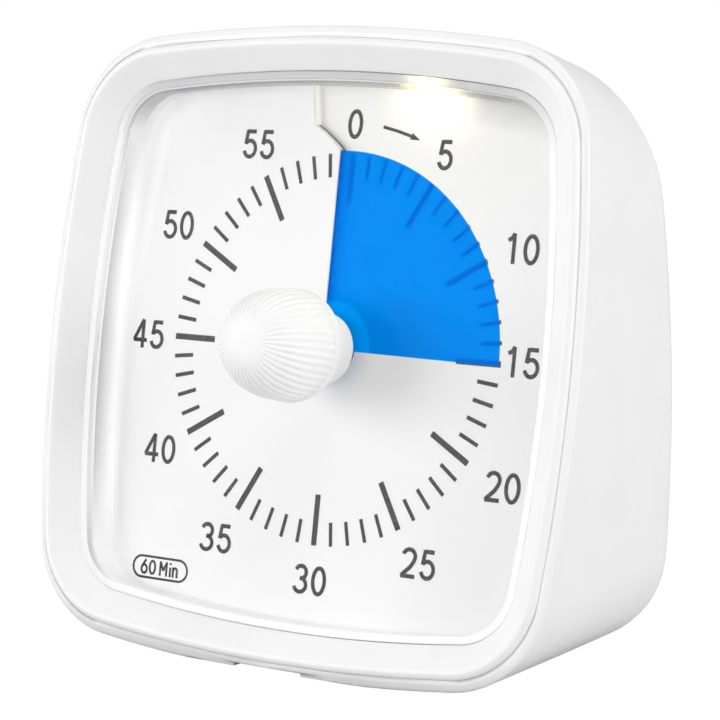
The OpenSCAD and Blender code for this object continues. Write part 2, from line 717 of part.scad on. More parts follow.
module second_wheel() color("ivory") on_face() translate([second_p.x, second_p.y, 0]) {
    gear(second_leaves, third_h, pinion_t, second_dir + 180 + 180/second_leaves);
    gear_root(second_leaves, second_h, third_h - second_h + pinion_t/2);
    gear(second_teeth, second_h, wheel_t);
    arbor();
}

module move_block(low, top, inset) translate([0, 0, low]) linear_extrude(top - low)
    offset(r = move_corner_r - inset, $fn = small)
        square([move_w - 2*move_corner_r, move_up - 2*move_corner_r], center = true);

module move_holes() {
    at_pivots() translate([0, 0, move_low - 1])
        cylinder(r = arbor_r + run_gap, h = move_t + 2, $fn = small);
    at_move_screws() translate([0, 0, move_low - 1])
        cylinder(r = move_screw_r + hold_gap, h = move_t + 2, $fn = small);
}

module movement_front() color("gainsboro") on_face() difference() {
    union() {
        difference() {
            move_block(split_h, move_front, 0);
            move_block(split_h - 1, move_front - move_wall, move_wall);
        }
        at_move_screws() translate([0, 0, split_h])
            cylinder(r = screw_boss_r, h = move_front - split_h - move_wall/2, $fn = small);
    }
    translate([0, 0, split_h - 1]) cylinder(r = spindle_r + free_gap, h = move_t, $fn = small);
    move_holes();
}

module movement_rear() color("gainsboro") on_face() difference() {
    union() {
        difference() {
            move_block(move_low, split_h, 0);
            move_block(move_low + move_wall, split_h + 1, move_wall);
        }
        at_move_screws() translate([0, 0, move_low + move_wall/2])
            cylinder(r = screw_boss_r, h = split_h - move_low - move_wall/2, $fn = small);
        for (s = [-1, 1]) translate([rotor_p.x + s*stator_leg_x, rotor_p.y, move_low + move_wall/2])
            cylinder(r = stator_leg_w/2, h = third_h - move_low - move_wall/2, $fn = small);
    }
    translate([0, 0, move_low - 1]) cylinder(r = journal_r + run_gap, h = move_t, $fn = small);
    move_holes();
}

module movement_screws() color("silver") on_face() at_move_screws() {
    translate([0, 0, move_low - move_head_t]) cylinder(r = move_head_r, h = move_head_t, $fn = small);
    translate([0, 0, move_low - move_head_t])
        cylinder(r = move_screw_r, h = move_head_t + move_t + move_grip_len - move_tip_gap, $fn = small);
}

journal_r = 1.2;
washer_t = 0.3;
washer_r = spindle_r + 1.6;
clip_r = spindle_r + 0.8;
spindle_end = centre_h - 2*run_gap;
shoulder_h = centre_h + wheel_t + run_gap + washer_t;
cam_r = 3.4;
cam_nose = 1.2;
cam_nose_w = 1.6;
cam_t = 1.2;
cam_h = move_low - cam_t - free_gap - 0.1;

module spindle() color("silver") on_face() {
    spindle_bar(0, shoulder_h, spindle_top);
    translate([0, 0, spindle_end]) cylinder(r = spindle_r, h = shoulder_h - spindle_end, $fn = fine);
    translate([0, 0, cam_h + cam_t/2])
        cylinder(r = journal_r, h = shoulder_h - cam_h - cam_t/2, $fn = small);
}

module clutch_washer() color("gray") on_face() translate([0, 0, shoulder_h - washer_t]) difference() {
    cylinder(r = washer_r, h = washer_t, $fn = small);
    translate([0, 0, -1]) cylinder(r = spindle_r + hold_gap, h = 3, $fn = fine);
}

module spindle_clip() color("silver") on_face() translate([0, 0, spindle_end - washer_t]) difference() {
    cylinder(r = clip_r, h = washer_t, $fn = small);
    translate([0, 0, -1]) cylinder(r = journal_r + hold_gap, h = 3, $fn = small);
}

module alarm_cam() color("ivory") on_face() translate([0, 0, cam_h]) difference() {
    union() {
        cylinder(r = cam_r, h = cam_t, $fn = small);
        rotate([0, 0, 90 - set_turn]) translate([0, -cam_nose_w/2, 0])
            cube([cam_r + cam_nose, cam_nose_w, cam_t]);
    }
    translate([0, 0, cam_t/2]) cylinder(r = journal_r + hold_gap, h = 2, $fn = small);
}

leaf_t = 0.3;
leaf_w = 2;
leaf_len = 16;
leaf_over = 2;
leaf_foot = 3;
module alarm_leaf() color("gold") on_face()
    translate([leaf_over - leaf_len, cam_r + cam_nose + free_gap, move_low - leaf_w]) {
        cube([leaf_len, leaf_t, leaf_w]);
        translate([0, 0, leaf_w - leaf_t]) cube([leaf_foot, leaf_foot, leaf_t]);
    }

stator_t = 0.8;
stator_leg_x = 6;
stator_leg_w = 2;
rotor_r = 2.4;
coil_up = 17;
coil_r = 2.1;
cheek_t = 0.6;
cheek_over = 0.4;
rotor_over = 0.4;
stator_edge = 1.4;
stator_end = 1.2;
coil_x = stator_leg_x - stator_leg_w/2 - cheek_t/2;
module rotor() color("dimgray") on_face() translate([rotor_p.x, rotor_p.y, 0]) {
    translate([0, 0, third_h - rotor_over]) cylinder(r = rotor_r, h = stator_t + 2*rotor_over, $fn = small);
    arbor();
}

module stator() color("silver") on_face() translate([rotor_p.x, rotor_p.y, third_h]) difference() {
    union() {
        translate([-stator_leg_x - stator_leg_w/2, -rotor_r - stator_edge, 0])
            cube([2*stator_leg_x + stator_leg_w, 2*(rotor_r + stator_edge), stator_t]);
        for (s = [-1, 1]) translate([s*stator_leg_x - stator_leg_w/2, 0, 0])
            cube([stator_leg_w, coil_up + stator_end, stator_t]);
    }
    translate([0, 0, -1]) cylinder(r = rotor_r + free_gap, h = 3, $fn = small);
}

module coil() color("peru") on_face() translate([rotor_p.x, rotor_p.y + coil_up, third_h + stator_t/2]) {
    for (s = [-1, 1]) translate([s*coil_x, 0, 0]) rotate([0, 90, 0])
        cylinder(r = coil_r + cheek_over, h = cheek_t, center = true, $fn = small);
    rotate([0, 90, 0]) cylinder(r = coil_r, h = 2*coil_x, center = true, $fn = small);
}

// ---- electronics --------------------------------------------------------------------

board_room = -board_z - board_t - wall - free_gap;
chip_w = 7;
chip_up = 5;
chip_t = 1.2;
module circuit_board() on_back() {
    color("green") difference() {
        translate([-board_w/2, board_low, board_z]) cube([board_w, board_up - board_low, board_t]);
        at_board_posts() translate([0, 0, board_z - 1])
            cylinder(r = board_screw_r + hold_gap, h = board_t + 2, $fn = small);
    }
    color("black") for (s = [-1, 1]) translate([s*chip_w - chip_w/2, board_low + chip_up, board_z - chip_t])
        cube([chip_w, chip_up, chip_t]);
}

module board_screws() color("silver") on_back() at_board_posts() {
    translate([0, 0, board_z - move_head_t]) cylinder(r = move_head_r, h = move_head_t, $fn = small);
    translate([0, 0, board_z - move_head_t])
        cylinder(r = board_screw_r, h = move_head_t + board_t + board_screw_l - screw_tip_gap, $fn = small);
}

buzzer_hole_r = 1.5;
module buzzer() color("dimgray") on_back() translate([0, grille_y, board_z + board_t]) difference() {
    cylinder(r = buzzer_r, h = board_room, $fn = fine);
    translate([0, 0, board_room - buzzer_hole_r])
        cylinder(r = buzzer_hole_r, h = 2*buzzer_hole_r, $fn = small);
}

slide_plate_t = 1;
slide_plate_end = 1.2;
slide_peg_r = 0.7;
slide_peg_l = 1.5;
slider_proud = 0.8;
slider_ridge_w = 0.6;
slider_ridge_h = 0.4;
slider_ridge_pitch = 1.4;
switch_w = 14;
switch_up = 6;
switch_t = board_room - free_gap - slide_plate_t;
module volume_slider() color("white") on_back() translate([slider_at.x, slider_at.y, -wall - free_gap]) {
    top = wall + free_gap + slider_proud;
    translate([-slider_w/2, -slider_h/2, -slide_plate_t/2]) cube([slider_w, slider_h, top + slide_plate_t/2]);
    translate([-slide_plate_w/2, -slider_h/2 - slide_plate_end, -slide_plate_t])
        cube([slide_plate_w, slider_h + 2*slide_plate_end, slide_plate_t]);
    translate([0, 0, -slide_plate_t - slide_peg_l])
        cylinder(r = slide_peg_r, h = slide_peg_l + slide_plate_t/2, $fn = small);
    for (i = [-1:1]) translate([i*slider_ridge_pitch - slider_ridge_w/2, -slider_h/2, top - slider_ridge_h/4])
        cube([slider_ridge_w, slider_h, 1.25*slider_ridge_h]);
}

module volume_switch() color("silver") on_back()
    translate([slider_at.x, slider_at.y, board_z + board_t]) difference() {
        translate([-switch_w/2, -switch_up/2, 0]) cube([switch_w, switch_up, switch_t]);
        translate([0, 0, switch_t]) cube([2*(slider_travel + slide_peg_r + free_gap),
            2*(slide_peg_r + free_gap), 4], center = true);
    }

button_flange = 1.2;
button_flange_t = 1;
button_proud = 1.2;
switch_side = 6;
switch_stem_r = 1.7;
module light_button() color("white") on_back() translate([button_at.x, button_at.y, -wall - free_gap]) {
    translate([0, 0, -button_flange_t/2])
        cylinder(r = button_r, h = wall + free_gap + button_proud + button_flange_t/2, $fn = fine);
    translate([0, 0, -button_flange_t])
        cylinder(r = button_r + button_flange, h = button_flange_t, $fn = fine);
}

module light_switch() on_back() translate([button_at.x, button_at.y, board_z + board_t]) {
    tall = board_room - button_flange_t - button_travel - free_gap;
    color("black") translate([-switch_side/2, -switch_side/2, 0]) cube([switch_side, switch_side, tall/2]);
    color("silver") translate([0, 0, tall/2]) cylinder(r = switch_stem_r, h = tall/2, $fn = small);
}

// ---- batteries ------------------------------------------------------------------------

cell_z = -door_t - 2*free_gap - cell_d/2;
cap_l = 1;
cap_r = 2.7;
function cell_y(s) = bay_y + s*(cell_d + free_gap)/2;

// One cell, its cap towards the side s
module cell(s) translate([s*(spring_room - button_room)/2, cell_y(s), cell_z]) rotate([0, 90*s, 0]) {
    translate([0, 0, -cell_l/2]) cylinder(d = cell_d, h = cell_l - cap_l, $fn = fine);
    translate([0, 0, cell_l/2 - cap_l]) cylinder(r = cap_r, h = cap_l, $fn = small);
}
module battery_cell_a() color("gray") on_back() cell(1);
module battery_cell_b() color("gray") on_back() cell(-1);

plate_t = 0.4;
plate_w = 11;
spring_turns = 3;
spring_steps = 14;
spring_foot_r = 5;
spring_tip_r = 3;
wire_r = 0.4;
wire_ring = [for (i = [0:5]) wire_r*[cos(60*i), -sin(60*i)]];

// Conical spring, standing on a contact plate with its tip against a cell
module spring() {
    steps = spring_steps*spring_turns;
    tall = spring_room - plate_t;
    skin([for (j = [0:steps]) let (t = j/steps, a = 360*spring_turns*t,
            r = mix(spring_foot_r, spring_tip_r, t), z = mix(wire_r, tall - wire_r, t))
        [for (q = wire_ring) [(r + q.x)*cos(a), (r + q.x)*sin(a), z + q.y]]]);
}

module contact_springs() color("silver") on_back() for (s = [-1, 1])
    translate([-s*(bay_w/2 - plate_t), cell_y(s), cell_z]) rotate([0, 90*s, 0]) spring();

module contact_plates() color("silver") on_back() for (s = [-1, 1]) {
    for (e = [-1, 1]) translate([e*(bay_w/2 - plate_t/2), cell_y(s), cell_z])
        cube([plate_t, plate_w, plate_w], center = true);
    translate([s*(bay_w/2 - button_room), cell_y(s), cell_z]) rotate([0, 90*s, 0])
        cylinder(r = cap_r, h = button_room - plate_t/2, $fn = small);
}

ridge_pitch = 1.6;
ridge_len = 18;
ridge_h = 0.3;
ridge_in = 8;
module battery_door() color("white") on_back() {
    translate([-bay_w/2 - door_ledge, pin_y, -door_t])
        cube([bay_w + 2*door_ledge, bay_top + door_ledge - pin_y, door_t]);
    translate([-bay_w/2 - door_ledge - pin_len, pin_y, -pin_r]) rotate([0, 90, 0])
        cylinder(r = pin_r, h = bay_w + 2*door_ledge + 2*pin_len, $fn = small);
    for (i = [-2:2]) translate([-ridge_len/2, bay_top - ridge_in + ridge_pitch*i, -ridge_h/2])
        cube([ridge_len, ridge_pitch/2, 1.5*ridge_h]);
}

// ---- screws ---------------------------------------------------------------------------

cross_w = 0.6;
module case_screws() color("silver") on_face() at_towers() translate([0, 0, post_end - screw_ledge])
    difference() {
        union() {
            translate([0, 0, -head_t]) cylinder(r = head_r, h = head_t, $fn = small);
            translate([0, 0, -head_t])
                cylinder(r = shank_r, h = head_t + screw_ledge + grip_len, $fn = small);
        }
        for (a = [0, 90]) rotate([0, 0, a]) translate([0, 0, -head_t])
            cube([4*cross_w, cross_w, head_t], center = true);
    }

rear_shell();
front_bezel();
clear_lens();
dial_tray();
dial_plate();
time_disc();
disc_boss();
knob();
knob_hub();
spindle();
clutch_washer();
spindle_clip();
alarm_cam();
alarm_leaf();
movement_front();
movement_rear();
centre_wheel();
third_wheel();
second_wheel();
rotor();
stator();
coil();
movement_screws();
led_board();
night_light_window();
circuit_board();
board_screws();
buzzer();
volume_switch();
volume_slider();
light_switch();
light_button();
battery_cell_a();
battery_cell_b();
contact_springs();
contact_plates();
battery_door();
case_screws();
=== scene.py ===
import json
import math

import bmesh
import bpy
from mathutils import Matrix, Vector


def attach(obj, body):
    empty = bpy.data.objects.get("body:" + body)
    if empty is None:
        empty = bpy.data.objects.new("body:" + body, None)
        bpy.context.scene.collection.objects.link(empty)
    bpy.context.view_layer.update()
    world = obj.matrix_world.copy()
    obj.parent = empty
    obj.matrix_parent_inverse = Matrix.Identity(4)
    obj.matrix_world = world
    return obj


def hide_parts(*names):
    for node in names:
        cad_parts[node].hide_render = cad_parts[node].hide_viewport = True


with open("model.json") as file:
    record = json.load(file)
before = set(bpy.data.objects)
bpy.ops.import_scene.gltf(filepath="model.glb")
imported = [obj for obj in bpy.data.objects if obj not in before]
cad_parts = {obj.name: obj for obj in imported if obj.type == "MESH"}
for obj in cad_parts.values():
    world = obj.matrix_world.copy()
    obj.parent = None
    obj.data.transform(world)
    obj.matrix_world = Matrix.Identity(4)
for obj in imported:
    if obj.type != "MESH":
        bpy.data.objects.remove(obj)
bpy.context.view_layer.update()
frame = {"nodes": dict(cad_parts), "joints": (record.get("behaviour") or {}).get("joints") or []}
print("frame loaded")

mm = 0.001
joints = {joint["name"]: joint for joint in frame["joints"]}


# shaders: a socket that takes part in sums, and a material built from nodes

class Signal:
    def __init__(self, finish, socket):
        self.finish = finish
        self.socket = socket

    def join(self, operation, *values):
        return self.finish.add("ShaderNodeMath", {"operation": operation}, dict(enumerate(values)))

    def __add__(self, other):
        return self.join("ADD", self, other)

    def __radd__(self, other):
        return self.join("ADD", other, self)

    def __sub__(self, other):
        return self.join("SUBTRACT", self, other)

    def __rsub__(self, other):
        return self.join("SUBTRACT", other, self)

    def __mul__(self, other):
        return self.join("MULTIPLY", self, other)

    def __truediv__(self, other):
        return self.join("DIVIDE", self, other)

    def __pow__(self, other):
        return self.join("POWER", self, other)

    def ramp(self, low, high):  # 0 below low, 1 above high, straight between
        return self.finish.add("ShaderNodeMapRange", {"clamp": True},
                               {"Value": self, "From Min": low, "From Max": high})


class Finish:
    def __init__(self, name, tree=None):
        if tree is None:
            self.material = bpy.data.materials.new(name)
            self.material.use_nodes = True
            tree = self.material.node_tree
        self.tree = tree
        self.tree.nodes.clear()

    def feed(self, socket, value):  # link a signal, or set a number, a vector or a colour
        if isinstance(value, Signal):
            self.tree.links.new(value.socket, socket)
        elif isinstance(value, tuple) and len(socket.default_value) == 4:
            socket.default_value = (*value, 1)
        else:
            socket.default_value = value

    def add(self, kind, settings=None, sockets=None, output=0):
        node = self.tree.nodes.new(kind)
        for key, value in (settings or {}).items():
            setattr(node, key, value)
        for key, value in (sockets or {}).items():
            self.feed(node.inputs[key], value)
        return Signal(self, node.outputs[output])

    def vectors(self, operation, *values, output=0):  # output 1 where the result is a number
        return self.add("ShaderNodeVectorMath", {"operation": operation}, dict(enumerate(values)),
                        output)

    def here(self):  # object coordinates, in metres
        return self.add("ShaderNodeTexCoord", output=3)

    def place(self):  # object coordinates, in millimetres
        return self.add("ShaderNodeMapping", {}, {"Vector": self.here(), "Scale": (1 / mm,) * 3})

    def noise(self, vector, scale, detail=2, roughness=0.5):
        return self.add("ShaderNodeTexNoise", {}, {
            "Vector": vector, "Scale": scale, "Detail": detail, "Roughness": roughness})

    def bump(self, height, strength, distance):
        return self.add("ShaderNodeBump", {}, {
            "Height": height, "Strength": strength, "Distance": distance * mm})

    def blend(self, factor, first, second):  # colours
        mix = self.tree.nodes.new("ShaderNodeMix")
        mix.data_type = "RGBA"
        for name, value in (("Factor", factor), ("A", first), ("B", second)):
            self.feed(next(s for s in mix.inputs if s.name == name and s.enabled), value)
        return Signal(self, next(s for s in mix.outputs if s.enabled))

    def skin(self, sockets):
        return self.add("ShaderNodeBsdfPrincipled", {}, sockets)

    def clear(self, colour=(1, 1, 1)):
        return self.add("ShaderNodeBsdfTransparent", {}, {"Color": colour})

    def mixed(self, factor, first, second):  # shaders
        return self.add("ShaderNodeMixShader", {}, {0: factor, 1: first, 2: second})

    def surface(self, shader):
        out = self.tree.nodes.new("ShaderNodeOutputMaterial")
        self.tree.links.new(shader.socket, out.inputs["Surface"])
        return self.material


def uneven(value, cloud, spread):  # a value that wanders with a noise
    return value + (cloud - 0.5) * spread


moulded = {
    "cloud": 0.09, "paleSpan": (0.35, 0.65), "tint": 0.98,  # how far the colour wanders
    "spread": 0.04, "coatRough": 0.12, "grainDepth": 0.05,
    "footSpan": (8.5, 0), "footPower": 1.3, "footShade": (0.3, 0.3, 0.3),  # painted shade near the ground
}
brushed = {
    "stretch": (1, 0.06, 1), "detailRough": 0.6, "stain": 0.4, "tint": 0.9,
    "spread": 0.2, "strength": 0.05, "depth": 0.02,
}


def plastic(name, colour, rough, grain=0.02, grainSize=5.0, coat=0.0, foot=0.0,
            spread=moulded["spread"]):
    # a faint texture from the mould and slightly uneven gloss; foot paints shade on the lowest 8.5
    # mm, darker towards the ground
    finish = Finish(name)
    spot = finish.place()
    cloud = finish.noise(spot, moulded["cloud"], 3)
    texture = finish.noise(spot, grainSize)
    tinted = tuple(c * moulded["tint"] for c in colour)
    pale = finish.blend(cloud.ramp(*moulded["paleSpan"]), tinted, colour)
    if foot:
        height = finish.add("ShaderNodeSeparateXYZ", {}, {0: spot}, 2)
        low = height.ramp(*moulded["footSpan"]) ** moulded["footPower"]
        pale = finish.blend(low * foot, pale, moulded["footShade"])
    return finish.surface(finish.skin({
        "Base Color": pale, "Roughness": uneven(rough, cloud, spread),
        "Coat Weight": coat, "Coat Roughness": moulded["coatRough"],
        "Normal": finish.bump(texture, grain, moulded["grainDepth"])}))


def metal(name, colour, rough, lines=12.0):  # fine scratches and faint stains
    finish = Finish(name)
    spot = finish.place()
    stretched = finish.add("ShaderNodeMapping", {}, {"Vector": spot, "Scale": brushed["stretch"]})
    scratch = finish.noise(stretched, lines, 3, brushed["detailRough"])
    stain = finish.noise(spot, brushed["stain"])
    tinted = tuple(c * brushed["tint"] for c in colour)
    return finish.surface(finish.skin({
        "Base Color": finish.blend(stain, tinted, colour),
        "Metallic": 1.0, "Roughness": uneven(rough, scratch, brushed["spread"]),
        "Normal": finish.bump(scratch, brushed["strength"], brushed["depth"])}))


# the face frame has X right, Y up along the face and Z out of the dial, in millimetres
inwardAxis = Vector(joints["knob_turn"]["axis"])
dialCentre = Vector(joints["knob_turn"]["pos_m"])
faceTilt = math.asin(-inwardAxis.z)
onFace = (Matrix.Translation(dialCentre) @ Matrix.Rotation(math.pi / 2 - faceTilt, 4, "X")
          @ Matrix.Scale(mm, 4))


def faceSpot(finish, x, y):  # how far a point lies from (x, y) along the face's X, Y and Z
    away = finish.vectors("SUBTRACT", finish.here(), tuple(onFace @ Vector((x, y, 0))))
    axes = [tuple(onFace.to_3x3().col[i].normalized()) for i in range(3)]
    return [finish.vectors("DOT_PRODUCT", away, axis, output=1) / mm for axis in axes]


def radiusFromAxis(finish):  # millimetres from the axis through the dial's centre
    away = finish.vectors("SUBTRACT", finish.here(), tuple(dialCentre))
    outward = finish.vectors("CROSS_PRODUCT", away, tuple(inwardAxis))
    return finish.vectors("LENGTH", outward, output=1) / mm


def lerp(a, b, t):
    return a + (b - a) * t


def meshPiece(bm, name, materials, sharp):  # smooth, but sharp where faces meet at a larger angle
    mesh = bpy.data.meshes.new(name)
    bm.to_mesh(mesh)
    bm.free()
    mesh.polygons.foreach_set("use_smooth", [True] * len(mesh.polygons))
    mesh.set_sharp_from_angle(angle=math.radians(sharp))
    for material in materials:
        mesh.materials.append(material)
    piece = bpy.data.objects.new(name, mesh)
    bpy.context.scene.collection.objects.link(piece)
    return piece


def finishPiece(bm, name, materials, body="housing", stands=(), sharp=32, recalc=True):
    # turn a bmesh made in millimetres in the face frame into a piece of the object
    if recalc:
        bmesh.ops.recalc_face_normals(bm, faces=bm.faces)
    bmesh.ops.transform(bm, matrix=onFace, verts=bm.verts)
    piece = meshPiece(bm, name, materials, sharp)
    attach(piece, body)
    if stands:
        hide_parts(*stands)
    return piece


def applyModifiers(piece):
    graph = bpy.context.evaluated_depsgraph_get()
    done = bpy.data.meshes.new_from_object(piece.evaluated_get(graph))
    old = piece.data
    piece.modifiers.clear()
    piece.data = done
    bpy.data.meshes.remove(old)


copied = {"join": 0.0005, "flat": 0.5, "easeAngle": 40, "easeSteps": 2}  # millimetres and degrees


def smoothCopy(node, name, material, body="housing", sharp=32, bevel=0.0, even=False):
    # a CAD node's loose triangles, joined into one smooth skin with eased edges
    bm = bmesh.new()
    bm.from_mesh(frame["nodes"][node].data)
    bmesh.ops.remove_doubles(bm, verts=bm.verts, dist=copied["join"] * mm)
    bmesh.ops.dissolve_limit(bm, angle_limit=math.radians(copied["flat"]), verts=bm.verts,
                             edges=bm.edges)
    piece = meshPiece(bm, name, [material], sharp)
    if even:
        piece.modifiers.new("even", "WEIGHTED_NORMAL").keep_sharp = True
        applyModifiers(piece)
    if bevel:
        ease = piece.modifiers.new("ease", "BEVEL")
        ease.width = bevel * mm
        ease.segments = copied["easeSteps"]
        ease.limit_method = "ANGLE"
        ease.angle_limit = math.radians(copied["easeAngle"])
        ease.use_clamp_overlap = True
        applyModifiers(piece)
    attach(piece, body)
    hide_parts(node)
    return piece


# outlines: squares with bulging sides and round corners

def cornerCentre(wide, tall, crown, corner):
    gap = math.hypot(wide - crown, tall - crown)
    middle = Vector(((wide - crown) / 2, (tall - crown) / 2))
    outward = Vector((crown - tall, crown - wide)) / gap
    return middle + outward * math.sqrt((crown - corner) ** 2 - gap * gap / 4)


def outline(wide, tall, crown, corner, sideSteps=14, cornerSteps=22):
    centre = cornerCentre(wide, tall, crown, corner)
    sideEnd = math.atan2(centre.y, centre.x - wide + crown)
    topStart = math.atan2(centre.y - tall + crown, centre.x)
    quarter = []
    for i in range(sideSteps):
        t = sideEnd * i / sideSteps
        quarter.append(Vector((wide - crown + crown * math.cos(t), crown * math.sin(t))))
    for i in range(cornerSteps):
        t = lerp(sideEnd, topStart, i / cornerSteps)
        quarter.append(centre + Vector((math.cos(t), math.sin(t))) * corner)
    for i in range(sideSteps + 1):
        t = lerp(topStart, math.pi / 2, i / sideSteps)
        quarter.append(Vector((crown * math.cos(t), tall - crown + crown * math.sin(t))))
    n = len(quarter) - 1
    return ([quarter[i].copy() for i in range(n)]
            + [Vector((-quarter[i].x, quarter[i].y)) for i in range(n, 0, -1)]
            + [-quarter[i] for i in range(n)]
            + [Vector((quarter[i].x, -quarter[i].y)) for i in range(n, 0, -1)])


def startRing(bm, points):
    ring = bmesh.ops.create_circle(bm, cap_ends=False, segments=len(points), radius=1)["verts"]
    for vert, point in zip(ring, points):
        vert.co = point
    return list(ring)


def startRow(bm, points):  # vertices in a row, joined by edges
    row = [bm.verts.new(p) for p in points]
    for a, b in zip(row, row[1:]):
        bm.edges.new((a, b))
    return row


def faceUp(bm):  # turn the faces that look into the dial
    for face in bm.faces:
        face.normal_update()
        if face.normal.z < 0:
            face.normal_flip()


sameSpot = 1e-5  # vertices nearer to each other than this, in millimetres, become one


def extrudeOn(bm, row, points, closed=True, finish=0):
    # extrude a row of vertices and set the new row on the given points
    pairs = zip(row, row[1:] + row[:1]) if closed else zip(row, row[1:])
    made = bmesh.ops.extrude_edge_only(bm, edges=[bm.edges.get(pair) for pair in pairs])["geom"]
    fresh = {item for item in made if isinstance(item, bmesh.types.BMVert)}
    following = [next(e.other_vert(v) for e in v.link_edges if e.other_vert(v) in fresh)
                 for v in row]
    for vert, point in zip(following, points):
        vert.co = point
        for face in vert.link_faces:
            face.material_index = finish
    return following


def easeCurve(points, steps):  # a smooth curve through points, Catmull-Rom
    curve = []
    for i in range(len(points) - 1):
        a = points[max(i - 1, 0)]
        b, c = points[i], points[i + 1]
        d = points[min(i + 2, len(points) - 1)]
        for k in range(steps):
            t = k / steps
            curve.append(tuple(0.5 * (2 * q + (r - p) * t + (2 * p - 5 * q + 4 * r - s) * t * t
                                      + (3 * q - p - 3 * r + s) * t ** 3)
                               for p, q, r, s in zip(a, b, c, d)))
    curve.append(tuple(points[-1]))
    return curve


shell = {"up": 54.6, "down": 55.8, "crown": 322, "rimCorner": 18.3, "lipSide": 1.4}
faceMiddle = (shell["up"] - shell["down"]) / 2

# the shell and its door get painted shade on their lowest 8.5 mm, through foot
whiteShell = plastic("whiteShell", (0.93, 0.93, 0.93), 0.36, grain=0.015, grainSize=6, coat=0.15,
                     foot=0.42)
whiteBezel = plastic("whiteBezel", (0.93, 0.93, 0.93), 0.4, grain=0.012, grainSize=6, coat=0.05)
whiteMatte = plastic("whiteMatte", (0.93, 0.93, 0.93), 0.5, grain=0.02, grainSize=8)
# near black, painted as shadow in the seam round the bezel and in the slit of the dial
seamShade = plastic("seamShade", (0.06, 0.06, 0.062), 0.7)

smoothCopy("rear_shell", "rearShell", whiteShell, sharp=35, even=True)
print("shell done")

bezel = {
    "seamWide": 53.56, "seamTall": 53.16, "winWide": 48.0, "winTall": 47.9, "winCrown": 278,
    "winCorner": 10.8, "paneTop": 8.0, "ledge": 9.6, "skirtEnd": 3.2, "skirtOut": 0.2091,
    # line, lineLeft and lineLow: how tall the painted shadow in the seam is at the right, at the
    # left and along the foot
    "skirtIn": 0.4091, "line": 0.3, "lineLeft": 0.07, "lineLow": 0.75,
    "cove": [  # share of the way from seam to window, and height
        (0.0, 11.35), (0.02, 11.75), (0.06, 12.1), (0.13, 12.42), (0.22, 12.5), (0.34, 12.2),
        (0.62, 10.9), (0.86, 9.75), (0.97, 9.2), (1.0, 8.95)],
}


def faceRing(height, *sizes):  # an outline round the middle of the face, at a height over the dial
    return [Vector((p.x, p.y + faceMiddle, height)) for p in outline(*sizes)]


def bezelRing(k, height):  # from the seam, k = 0, to the window, k = 1
    return faceRing(height, lerp(bezel["seamWide"], bezel["winWide"], k),
                    lerp(bezel["seamTall"], bezel["winTall"], k),
                    lerp(shell["crown"], bezel["winCrown"], k),
                    lerp(shell["rimCorner"] - shell["lipSide"], bezel["winCorner"], k))


def seamTop():  # the top of the painted shadow in the seam round the bezel, which is broader along the foot
    ring = bezelRing(0, bezel["cove"][0][1])
    for p in ring:
        line = lerp(bezel["lineLeft"], bezel["line"], (1 + p.x / bezel["seamWide"]) / 2)
        p.z -= lerp(line, bezel["lineLow"], min(max(-p.y / bezel["seamTall"], 0), 1) ** 3)
    return ring


def makeBezel():
    bm = bmesh.new()
    first = bezelRing(bezel["skirtOut"], bezel["skirtEnd"])
    row = startRing(bm, first)
    skin, seam = range(2)
    chain = [(bezel["skirtOut"], bezel["ledge"], skin), (0, bezel["ledge"], skin), (0, None, seam)]
    chain += [(k, height, skin) for k, height in easeCurve(bezel["cove"], 4)]
    chain += [(1, bezel["paneTop"], skin), (bezel["skirtIn"], bezel["paneTop"], skin),
              (bezel["skirtIn"], bezel["skirtEnd"], skin)]
    for k, height, finish in chain:
        ring = seamTop() if height is None else bezelRing(k, height)
        row = extrudeOn(bm, row, ring, finish=finish)
    row = extrudeOn(bm, row, first)
    bmesh.ops.remove_doubles(bm, verts=bm.verts, dist=sameSpot)
    finishPiece(bm, "frontBezel", [whiteBezel, seamShade], stands=["front_bezel"],
                sharp=40)


makeBezel()
print("bezel done")

night = {  # the night light's glow, painted as light on the dial, the tray wall and the lens rim: its middle on these three surfaces, how far it reaches, its colour
    "onDial": (15.4, 46.5), "onWall": (18.0, 47.0), "onRim": (19.8, 47.4),
    "dialReach": 15.5, "haloReach": 30, "wallReach": 9, "rimReach": 8, "windowTall": 40,
    "halo": 0.015, "warm": (1.0, 0.94, 0.48), "power": 2.5,
}
lens = {
    "flange": 1.2, "pane": 1.1, "rim": 1.35, "gap": 0.15, "rimTop": 8.8, "hole": 6.8,
    "fillet": 1.15, "chamfer": 0.1, "filletSteps": 5, "brightSteps": 2,
    "ior": 1.05, "polish": 0.03,
    "gapSpan": (0.4, 0.75), "gapPale": (0.62, 0.62, 0.62), "gapDark": (0.08, 0.08, 0.08),
    "edgePale": (0.97, 0.97, 0.97),
    # the side that is painted, where that starts and is full, the colour painted there (painted
    # shade on rim and fillet, a painted highlight on the line), least and most cover
    "rimLook": ((0.0, 1.0), 0.6, 0.8, (0.54, 0.54, 0.55), 0.75, 0.8),
    "filletLook": ((0.0, 1.0), 0.6, 0.8, (0.27, 0.27, 0.28), 0.03, 0.5),
    "lineLook": ((-0.6, 0.8), 0.3, 0.6, (0.97, 0.97, 0.97), 0.1, 0.9),
}
black = (0.0, 0.0, 0.0)
windowMiddle = onFace @ Vector((0, faceMiddle, bezel["paneTop"]))


def towards(finish, aim):  # 1 at the side of the window that aim points to, -1 across from it
    away = finish.vectors("SUBTRACT", finish.here(), tuple(windowMiddle))
    unit = finish.vectors("NORMALIZE", away)
    world = (onFace.to_3x3() @ Vector((*aim, 0))).normalized()
    return finish.vectors("DOT_PRODUCT", unit, tuple(world), output=1)


def glowNear(finish, spot, wide, tall=None):
    # 1 at a spot of the face, falling to 0 on a circle or an ellipse round it
    across, up = faceSpot(finish, *spot)[:2]
    return 1 - ((across / wide) ** 2 + (up / (tall or wide)) ** 2).ramp(0, 1) ** 0.5


